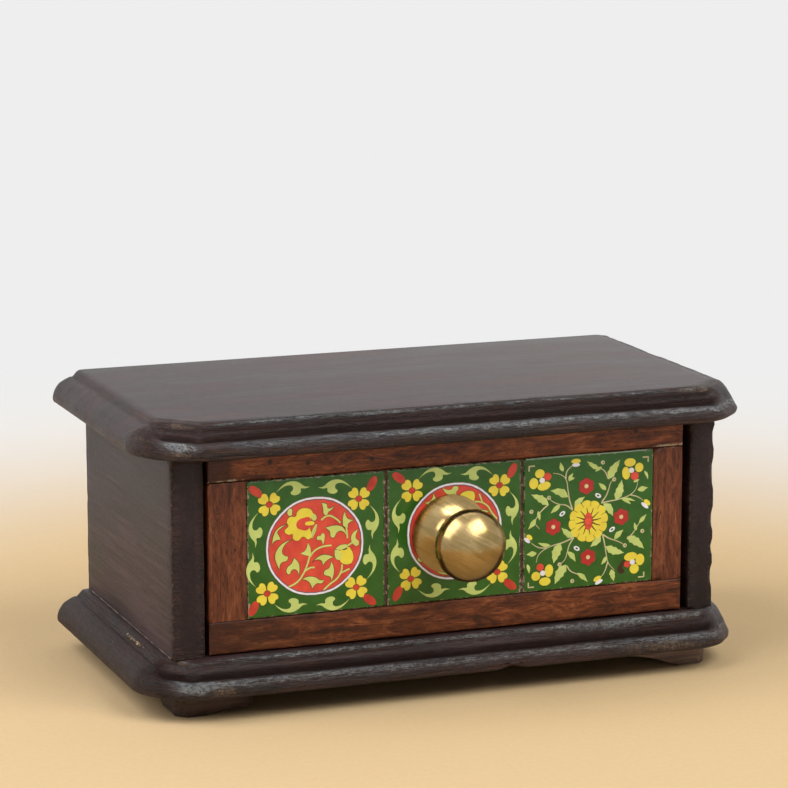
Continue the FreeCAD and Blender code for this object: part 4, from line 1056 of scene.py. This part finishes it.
# Leaves: base, tip, width, bend and number of teeth.
LEAVES = [
    ((16.9, 33.4), (10.0, 36.2), 2.7, -0.7, 3), ((9.4, 31.2), (2.6, 35.4), 2.5, -0.4, 4),
    ((13.8, 30.8), (10.2, 28.0), 1.7, 0.0, 0), ((19.4, 29.2), (23.4, 33.0), 2.2, 0.5, 3),
    ((32.4, 38.6), (36.9, 45.4), 2.9, 0.3, 4), ((28.8, 42.6), (24.0, 45.9), 1.6, 0.2, 3),
    ((31.6, 34.8), (28.7, 37.6), 1.6, 0.0, 0), ((35.4, 30.8), (37.7, 38.0), 2.9, -0.4, 4),
    ((43.8, 33.8), (48.0, 34.4), 1.8, 0.0, 2), ((30.6, 30.0), (34.4, 25.0), 2.6, 0.6, 3),
    ((19.6, 18.7), (14.4, 22.5), 2.2, 0.5, 3), ((10.2, 16.4), (5.4, 17.7), 1.3, 0.3, 0),
    ((14.1, 16.8), (11.5, 9.7), 3.2, -0.4, 4), ((5.0, 13.9), (1.0, 13.8), 1.8, 0.0, 2),
    ((16.8, 13.6), (20.0, 9.5), 1.8, 0.4, 2), ((29.6, 18.8), (25.6, 14.5), 2.4, 0.6, 3),
    ((31.7, 14.1), (39.0, 11.2), 2.7, -0.5, 4), ((35.0, 16.4), (38.6, 19.7), 1.9, 0.3, 2),
    ((40.0, 17.0), (46.8, 12.0), 2.8, 0.5, 4), ((44.6, 21.6), (47.5, 24.6), 1.4, 0.0, 2),
    ((43.6, 19.0), (42.8, 22.0), 1.2, 0.0, 0), ((16.4, 8.8), (12.0, 2.0), 3.2, -0.5, 4),
    ((20.6, 5.4), (24.8, 1.7), 1.6, 0.3, 2), ((32.0, 10.5), (30.0, 7.6), 1.4, 0.2, 0),
    ((34.0, 5.6), (35.0, 1.1), 2.0, 0.0, 3), ((1.3, 10.3), (2.1, 6.8), 1.2, 0.2, 0),
    ((4.6, 26.6), (1.6, 22.9), 1.7, 0.2, 2), ((5.4, 29.2), (6.1, 25.7), 1.2, 0.0, 0),
    ((14.9, 42.8), (13.8, 46.2), 1.5, 0.2, 0), ((17.2, 39.0), (18.8, 42.0), 1.3, 0.3, 2),
    ((46.4, 40.6), (47.9, 37.4), 1.0, 0.3, 0), ((16.9, 39.6), (19.4, 40.2), 1.0, 0.0, 0),
    ((37.6, 31.2), (41.4, 28.8), 1.1, 0.2, 0), ((38.0, 31.2), (43.2, 29.8), 0.9, 0.2, 0),
    ((29.8, 43.4), (27.2, 41.8), 1.1, 0.0, 0), ((42.2, 36.9), (44.6, 37.6), 0.9, 0.0, 0),
]
# A painted highlight along the third tile's top edge, where its glaze would catch the light.
EDGE_HIGHLIGHT = [(0.6, 48.1), (16, 48.25), (32, 48.1), (47.6, 48.2)]
SMUDGE = [(38.4, 5.9), (39.6, 7.4), (38.8, 8.6), (37.4, 7.2), (36.4, 5.4), (37.6, 3.6),
          (39.2, 4.4)]


def big_flower(at):
    """The yellow flower of twelve petals with dark strokes and a red eye."""
    petals, strokes = [], []
    for number in range(12):
        turn = 30 * number + 8
        petals.append(patch(moved(SUN_PETAL, at, turn), 0.12 + 0.004 * (number % 3)))
        strokes.append(line(moved([(1.6, 5.2), (1.9, 7.0)], at, turn), 0.16, 0.135))
        strokes.append(line(moved([(0, 1.4), (0.1, 3.0), (0, 5.0)], at, turn), 0.6, 0.17,
                            taper=True))
    return {"yellow": petals, "stroke": strokes, "red": [patch(ellipse(at, 1.6, 3.2), 0.24)]}


def red_flower(at):
    """A round red flower of six petals outlined in dark, with a cream eye."""
    petals, outlines = [], []
    for number in range(6):
        spot = moved([(0, 1.75)], at, 60 * number + 5 * at[0])[0]
        petals.append(patch(ellipse(spot, 1.25, 1.3, 60 * number), 0.12 + 0.003 * number))
        outlines.append(line(ellipse(spot, 1.25, 1.3, 60 * number), 0.13, 0.1, closed=True))
    petals.append(patch(ellipse(at, 1.2, 1.2), 0.14))
    return {"deep_red": petals, "stroke": outlines,
            "eye": [patch(ellipse(at, 0.75, 0.75), 0.2)]}


def pansy(heart, bud, petals):
    """A pansy of three yellow petals, with a white heart and a red bud beside it."""
    bud_x, bud_z, size = bud
    return {"yellow": [patch(ellipse((x, z), across, up, turn), 0.12 + 0.004 * number)
                       for number, (x, z, across, up, turn) in enumerate(petals)],
            "white": [patch(ellipse(heart, 1.0, 0.95), 0.18)],
            "red": [patch(ellipse((bud_x, bud_z), size, size * 0.95), 0.16)]}


def side_bud(x, z, gold, pale, turn):
    """A bud at the tile's side: gold over white."""
    over = moved([(0, 0.75)], (x, z), turn)[0]
    under = moved([(0, -0.6)], (x, z), turn)[0]
    return {"yellow": [patch(ellipse(over, gold, 0.85, turn), 0.13)],
            "white": [patch(ellipse(under, pale, 0.65, turn), 0.15)]}


def seed(x, z, turn):
    """A white seed with a green middle left bare."""
    return {"white": [patch(ellipse((x, z), 1.25, 0.75, turn), 0.1,
                            holes=[ellipse((x, z), 0.6, 0.32, turn)])]}


def stems_and_leaves():
    """Cream stems that taper, their curled ends, the corner brackets, and toothed leaves."""
    cream = [line(run, 0.55, 0.05 + 0.001 * number, taper=True)
             for number, run in enumerate(STEMS)]
    cream += [patch(ellipse(at, 0.75, 0.75), 0.09,
                    holes=[ellipse((at[0] + 0.15, at[1]), 0.25, 0.25)]) for at in CURLS]
    cream += [line([(x + right * 2.2, z), (x, z, TIP), (x, z + up * 1.8)], 0.5, 0.06)
              for x, z, right, up in BRACKETS]
    green = [patch(leaf(*drawn), 0.1 + 0.002 * (number % 9))
             for number, drawn in enumerate(LEAVES)]
    return {"cream": cream, "pale_leaf": green}


def garden():
    """The third tile: a big yellow flower, four red ones, corner pansies, stems and leaves,
    and a painted highlight along its top edge.
    """
    colours = ("yellow", "red", "deep_red", "white", "stroke", "cream", "pale_leaf", "eye",
               "smudge", "edge_highlight")
    return together({colour: [] for colour in colours},
                    big_flower((24.8, 24.0)),
                    *(red_flower(at) for at in RED_FLOWERS),
                    *(pansy(*drawn) for drawn in PANSIES),
                    *(side_bud(*drawn) for drawn in SIDE_BUDS),
                    *(seed(*drawn) for drawn in SEEDS),
                    stems_and_leaves(),
                    {"edge_highlight": [line(EDGE_HIGHLIGHT, 0.4, 0.0)], "smudge": [patch(SMUDGE, 0.06)]})


# The corners that a border's flowers face, right and up as 1 or -1.
UPPER_LEFT, UPPER_RIGHT, LOWER_LEFT, LOWER_RIGHT = (-1, 1), (1, 1), (-1, -1), (1, -1)


def paint_tiles():
    """Lay each tile's painting on it, one piece for each colour."""
    glazes = {
        "leaf": tile_glaze("glaze_leaf_green", "#ced97c", "#c2cd70"),
        "pale_leaf": tile_glaze("glaze_pale_green", "#c6d884", "#b2c672"),
        "yellow": tile_glaze("glaze_yellow", "#e8dc4c", "#decb44"),
        "red": tile_glaze("glaze_red", "#de523f", "#c23d35"),
        "bud_red": tile_glaze("glaze_bud_red", "#cf4937", "#ad3029"),
        "deep_red": tile_glaze("glaze_deep_red", "#b9322f", "#a3262a"),
        "white": tile_glaze("glaze_white", "#eceef8", "#dbdcec"),
        "rim": tile_glaze("glaze_violet_line", "#6b5470", "#54405c"),
        "shade": tile_glaze("glaze_olive_line", "#6a4a26", "#5a3d22"),
        "stroke": tile_glaze("glaze_dark_stroke", "#47401a", "#3a3416"),
        "cream": tile_glaze("glaze_cream", "#ccc6a0", "#b8b48c"),
        "eye": tile_glaze("glaze_cream_eye", "#dccc9a", "#cdbd88"),
        # Painted highlight on the third tile's top edge.
        "edge_highlight": tile_glaze("glaze_painted_edge_highlight", "#8fae98", "#7c9c88"),
        "smudge": tile_glaze("glaze_brown_smudge", "#3e2b1a", "#33241a"),
    }
    paintings = {
        "tile_left": together(
            roundel((24.3, 23.8), 0),
            border([(UPPER_LEFT, (7.8, 39.8), 2),
                    (UPPER_RIGHT, (40.4, 39.2), -3),
                    (LOWER_LEFT, (6.8, 8.5), 4),
                    (LOWER_RIGHT, (39.4, 7.8), 5)])),
        "tile_middle": together(
            roundel((24.9, 24.7), 90),
            border([(UPPER_LEFT, (8.9, 40.5), 0),
                    (UPPER_RIGHT, (41.7, 39.8), -4),
                    (LOWER_LEFT, (8.4, 9.0), 6),
                    (LOWER_RIGHT, (41.1, 8.5), 0)])),
        "tile_right": garden(),
    }
    for tile, painting in paintings.items():
        for glaze, pieces in painting.items():
            lay_on_tile(tile, glaze, pieces, glazes[glaze])


# ---------------------------------------------------------------- the box itself
# Each wood's colours from the darkest up.
DARK = ("#110808", "#241718", "#3a2829")
# Painted light, with some colour: the sides' shades are paler than the boards', for the light on
# the left side, and more purple.
SIDE_SHADES_LIT = ("#150b0d", "#2b1e23", "#443339")
# Painted light: the feet's shades are paler than the boards', and the front right foot's paler
# still, for the light that hardly reaches under the base.
FOOT_SHADES_LIT = ("#32272a", "#51423c", "#6a584f")
RIGHT_FOOT_SHADES_LIT = ("#625152", "#88756f", "#9f8d85")
UPPER_RED = ("#280f08", "#5c2b16", "#874827", "#b5704a")
LOWER_RED = ("#210e08", "#4f2411", "#783f21", "#b26d43")
STILE_RED = ("#3d1c10", "#5f301d", "#77422a", "#93593b")


def knock_outer_arris(piece, depth):
    """Scallop the outer front arris of the right side, knocked all along its height."""
    for vertex in piece.data.vertices:
        x, y, z = vertex.co / MM
        reach = depth * bump_at(x, RIGHT, 1.5) * bump_at(y, FRONT, 1.5)
        sunk = reach * ease(math.sin(z / 2.1 + 1.4 * math.sin(z / 7.0)), -0.6, 0.9) * MM
        vertex.co += Vector((-sunk, sunk * 0.5, 0))


def dress_carcass():
    """Finish the carcass: two moulded boards, two sides, four feet and what joins them."""
    boards = stained_hardwood("stained_hardwood_boards", "X", DARK, 0.34, 0.15)
    # Painted light: the sides wear a paler, lit copy of the stain.
    ends = stained_hardwood("stained_hardwood_sides_lit", "Y", SIDE_SHADES_LIT, 0.42)
    for node in BOARDS:
        settle(moulded_board(node), "carcass", boards, node)
    spots_of_paint(bpy.data.objects["base_board_worn"])
    wax_in_joint()
    for node in ("side_left", "side_right"):
        piece = worn_block(node, 3.0, 0.5, near_arris(node, 1.3))
        if node == "side_right":
            knock_outer_arris(piece, 0.9)
        settle(piece, "carcass", ends, node)
    # Painted light: the feet wear paler, lit copies of the stain, the front right foot the
    # palest.
    stained = stained_hardwood("stained_hardwood_feet_lit", "X", FOOT_SHADES_LIT, 0.5)
    lit_more = stained_hardwood("hardwood_foot_lit_more", "X", RIGHT_FOOT_SHADES_LIT, 0.5)
    for node in ("foot_front_left", "foot_front_right", "foot_back_left", "foot_back_right"):
        piece = worn_block(node, 3.0, 0.35, near_arris(node, 1.6))
        wood = lit_more if node == "foot_front_right" else stained
        settle(piece, "carcass", wood, node)
    wear(nodes["back_panel"], boards)
    wear(nodes["top_dowels"], planed_softwood("beech_dowel", "Z"))


def wax_in_joint():
    """The thin line of wax where the left side stands on the base board."""
    low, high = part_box("side_left")
    curve = bpy.data.curves.new("wax_in_joint", "CURVE")
    curve.dimensions = "3D"
    curve.bevel_depth = 0.25 * MM
    curve.bevel_resolution = 1
    curve.use_fill_caps = True
    spline = curve.splines.new("POLY")
    count = 40
    spline.points.add(count)
    for number, knot in enumerate(spline.points):
        along_side = low.y + (high.y - low.y) * (0.02 + 0.95 * number / count)
        knot.co = (low.x + 0.1 * MM, along_side, low.z + 0.15 * MM, 1)
        knot.radius = 0.6 + 0.4 * math.sin(1.7 * number + math.sin(0.6 * number))
    piece = bpy.data.objects.new("wax_in_joint", curve)
    bpy.context.scene.collection.objects.link(piece)
    pick(piece)
    bpy.ops.object.convert(target="MESH")
    settle(piece, "carcass", old_wax())


# Spots of paint on the left arris of the base board: the x and z of their trail, and the y
# and radius of each, in mm.
PAINT_TRAIL = (-105.6, 19.8)
PAINT_SPOTS = ((5.0, 0.34), (2.2, 0.3), (0.6, 0.24), (-0.8, 0.42), (-2.6, 0.3), (-4.0, 0.24),
               (-6.4, 0.34), (-8.0, 0.5), (-9.4, 0.3), (-11.0, 0.26), (-14.5, 0.22))


def spots_of_paint(board):
    """A short trail of paint spots, each flattened on to the board's own surface.

    Every other spot lies a little further out."""
    spots = []
    x, z = PAINT_TRAIL
    for number, (y, size) in enumerate(PAINT_SPOTS):
        aim = Vector((x - 0.3 * (number % 2), y, z)) * MM
        _, spot, normal, _ = board.closest_point_on_mesh(aim)
        bpy.ops.object.select_all(action="DESELECT")
        bpy.ops.mesh.primitive_ico_sphere_add(subdivisions=2, radius=size * MM)
        drop = bpy.context.view_layer.objects.active
        bpy.ops.object.mode_set(mode="EDIT")
        bpy.ops.transform.resize(value=(0.8, 1.5, 0.35))
        bpy.ops.object.mode_set(mode="OBJECT")
        drop.rotation_mode = "QUATERNION"
        drop.rotation_quaternion = normal.to_track_quat("Z", "Y")
        drop.location = spot
        spots.append(drop)
    pick(*spots)
    bpy.ops.object.transform_apply(location=True, rotation=True, scale=True)
    bpy.ops.object.join()
    piece = bpy.context.view_layer.objects.active
    piece.name = "spots_of_paint"
    bpy.ops.object.shade_smooth()
    settle(piece, "carcass", dried_paint())


# Old filled nail holes in the upper rail: x and z in mm.
NAIL_HOLES = ((-66.6, 87.5), (-52.9, 86.1), (-29.5, 85.7), (70.6, 88.2))


def strip_wear(node):
    """The two rules for a strip of the drawer's front: where it is rubbed, where grimy."""
    arris = near_arris(node, 0.9)

    def rub(x, y, z):
        dust_and_shading = bump_at(x, 84, 7) * 1.3 + bump_at(x, -82, 8)
        return 0.75 * arris(x, y, z) + dust_and_shading * bump_at(z, 82.3, 0.9)

    def grime_and_shade(x, y, z):
        if node == "front_rail_top":
            return ease(x, LEFT + 24, LEFT + 20)
        if node == "front_rail_bottom":
            return 0.75 * ease(x, LEFT + 60, LEFT + 20) + 0.2 * ease(x, 60, 20)
        return 0.0

    return rub, grime_and_shade


def dress_drawer():
    """Finish the drawer: its four strips, its box, the tiles, their filler and the knob."""
    upper = waxed_rosewood("waxed_rosewood_upper_rail", "X", UPPER_RED, 0.9, NAIL_HOLES)
    lower = waxed_rosewood("waxed_rosewood_lower_rail", "X", LOWER_RED, 0.9)
    stiles = waxed_rosewood("waxed_rosewood_stiles", "Z", STILE_RED, 1.8)
    for node, wood in (("front_rail_top", upper), ("front_rail_bottom", lower),
                       ("front_stile_left", stiles), ("front_stile_right", stiles)):
        rub, grime_and_shade = strip_wear(node)
        piece = worn_block(node, 3.0, 0.3, rub, grime_and_shade)
        settle(piece, "drawer", wood, node)
    deal = {axis: planed_softwood("planed_softwood_" + axis, axis) for axis in "XY"}
    for node in ("drawer_front_board", "drawer_back", "drawer_bottom_panel"):
        wear(nodes[node], deal["X"])
    for node in ("drawer_side_left", "drawer_side_right"):
        wear(nodes[node], deal["Y"])
    for node in ("tile_left", "tile_middle", "tile_right"):
        low, high = (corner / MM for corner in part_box(node))
        edge = (tuple((low + high) / 2), tuple((high - low) / 2))
        wear(nodes[node], tile_glaze("glaze_green_" + node, "#255518", "#306223", edge))
    wear(nodes["tile_bed"], tile_filler())
    low, high = (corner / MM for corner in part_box("knob"))
    wear(nodes["knob"], buffed_brass((low.x + high.x) / 2, (low.z + high.z) / 2))


def dress_fasteners():
    """Finish every screw, pin and washer in plain zinc."""
    zinc = zinc_plate()
    for node in ("base_screws", "foot_screws", "back_pins", "drawer_pins", "knob_washer",
                 "knob_screw"):
        wear(nodes[node], zinc)


# ---------------------------------------------------------------- stage
def soft_box(name, place, size, power, tint):
    """A soft lamp aimed at the box."""
    lamp = bpy.data.lights.new(name, "AREA")
    lamp.shape = "RECTANGLE"
    lamp.size = size[0]
    lamp.size_y = size[1]
    lamp.energy = power
    lamp.color = linear(tint)[:3]
    light = bpy.data.objects.new(name, lamp)
    light.location = place
    aim = Vector((0, 0, 0.05)) - Vector(place)
    light.rotation_euler = aim.to_track_quat("-Z", "Y").to_euler()
    bpy.context.scene.collection.objects.link(light)


def studio_paper():
    """Pale sand paper under the box that fades to a plain light grey further off.

    Far from the box the paper shows as an even pale ground to the camera and in gloss, and
    near it the paper keeps the box's shadow."""
    paper, tree, shader, place = finish_start("studio_paper")
    at = put(tree, "VectorMath", {0: place, 1: (2, 2, 2)}, operation="DIVIDE")
    tooth = put(tree, "TexNoise", {"Vector": at, "Scale": 1.0, "Detail": 2.0})
    level = put(tree, "VectorMath", {0: place, 1: (1, 1, 0)}, operation="MULTIPLY")
    reach = put(tree, "VectorMath", {0: level}, out="Value", operation="LENGTH")
    far = put(tree, "MapRange", {VALUE: reach, START: 190.0, END: 620.0},
              interpolation_type="SMOOTHSTEP")
    wall = put(tree, "SeparateXYZ", {"Vector": place}, out="Z")
    wall = put(tree, "MapRange", {VALUE: wall, START: 5.0, END: 80.0})
    far = put(tree, "Math", {0: far, 1: wall}, operation="MAXIMUM")
    near = put(tree, "Mix", {SHARE: tooth, UNDER: "#c1a983", OVER: "#c8b28d"}, out=MIXED,
               data_type="RGBA")
    tint = put(tree, "Mix", {SHARE: far, UNDER: near, OVER: "#e6e4e0"}, out=MIXED,
               data_type="RGBA")
    feed(shader, {"Base Color": tint, "Roughness": 0.9, "Specular IOR Level": 0.2})
    ray = put(tree, "LightPath").node.outputs
    seen = put(tree, "Math", {0: ray["Is Camera Ray"], 1: ray["Is Glossy Ray"]},
               operation="MAXIMUM")
    seen = put(tree, "Math", {0: seen, 1: ray["Is Transmission Ray"]}, operation="MAXIMUM")
    seen = put(tree, "Math", {0: seen, 1: far}, operation="MULTIPLY")
    glow = put(tree, "Emission", {"Color": "#eeeeee", "Strength": 1.0})
    mixed = put(tree, "MixShader", {0: seen, 1: shader.outputs[0], 2: glow})
    end = next(node for node in tree.nodes if node.type == "OUTPUT_MATERIAL")
    feed(end, {"Surface": mixed})
    return paper


# The sweep of paper in metres: its width and depth, how far its middle lies in front of the
# box, how high it climbs behind and how wide its bend is.
SWEEP_WIDTH, SWEEP_DEPTH, SWEEP_FORWARD, SWEEP_HEIGHT, SWEEP_BEND = 8, 4.6, 0.5, 3.0, 0.7


def build_stage():
    """The sweep of paper under and behind the box, three soft lamps and the air's light."""
    bpy.ops.object.select_all(action="DESELECT")
    bpy.ops.mesh.primitive_plane_add(size=1)
    floor = bpy.context.view_layer.objects.active
    floor.name = "studio_sweep"
    bpy.ops.object.mode_set(mode="EDIT")
    bpy.ops.mesh.select_all(action="SELECT")
    bpy.ops.transform.resize(value=(SWEEP_WIDTH, SWEEP_DEPTH, 1))
    bpy.ops.transform.translate(value=(0, -SWEEP_FORWARD, 0))
    bpy.ops.object.mode_set(mode="OBJECT")
    for edge in floor.data.edges:
        edge.select = all(floor.data.vertices[v].co.y > 1 for v in edge.vertices)
    for face in floor.data.polygons:
        face.select = False
    bpy.ops.object.mode_set(mode="EDIT")
    bpy.ops.mesh.select_mode(type="EDGE")
    bpy.ops.mesh.extrude_region_move(TRANSFORM_OT_translate={"value": (0, 0, SWEEP_HEIGHT)})
    bpy.ops.object.mode_set(mode="OBJECT")
    sweep = floor.modifiers.new("sweep", "BEVEL")
    sweep.width = SWEEP_BEND
    sweep.segments = 16
    sweep.limit_method = "ANGLE"
    bpy.ops.object.modifier_apply(modifier=sweep.name)
    bpy.ops.object.shade_smooth()
    wear(floor, studio_paper())

    for lamp in LAMPS:
        soft_box(*lamp)
    world = bpy.data.worlds.new("studio_air")
    bpy.context.scene.world = world
    world.use_nodes = True
    feed(world.node_tree.nodes["Background"], {"Color": AIR, "Strength": AIR_STRENGTH})


def set_camera():
    """The camera, low and to the left of the box."""
    lens = bpy.data.cameras.new("camera")
    lens.lens = CAMERA_LENS
    lens.sensor_width = CAMERA_FRAME
    lens.clip_start = 0.05
    camera = bpy.data.objects.new("camera", lens)
    camera.location = CAMERA_PLACE
    camera.rotation_euler = (math.radians(90 - CAMERA_DIP), 0, math.radians(CAMERA_TURN))
    bpy.context.scene.collection.objects.link(camera)
    bpy.context.scene.camera = camera


bpy.context.scene.view_settings.view_transform = "Standard"
set_camera()
build_stage()
dress_carcass()
dress_drawer()
dress_fasteners()
paint_tiles()
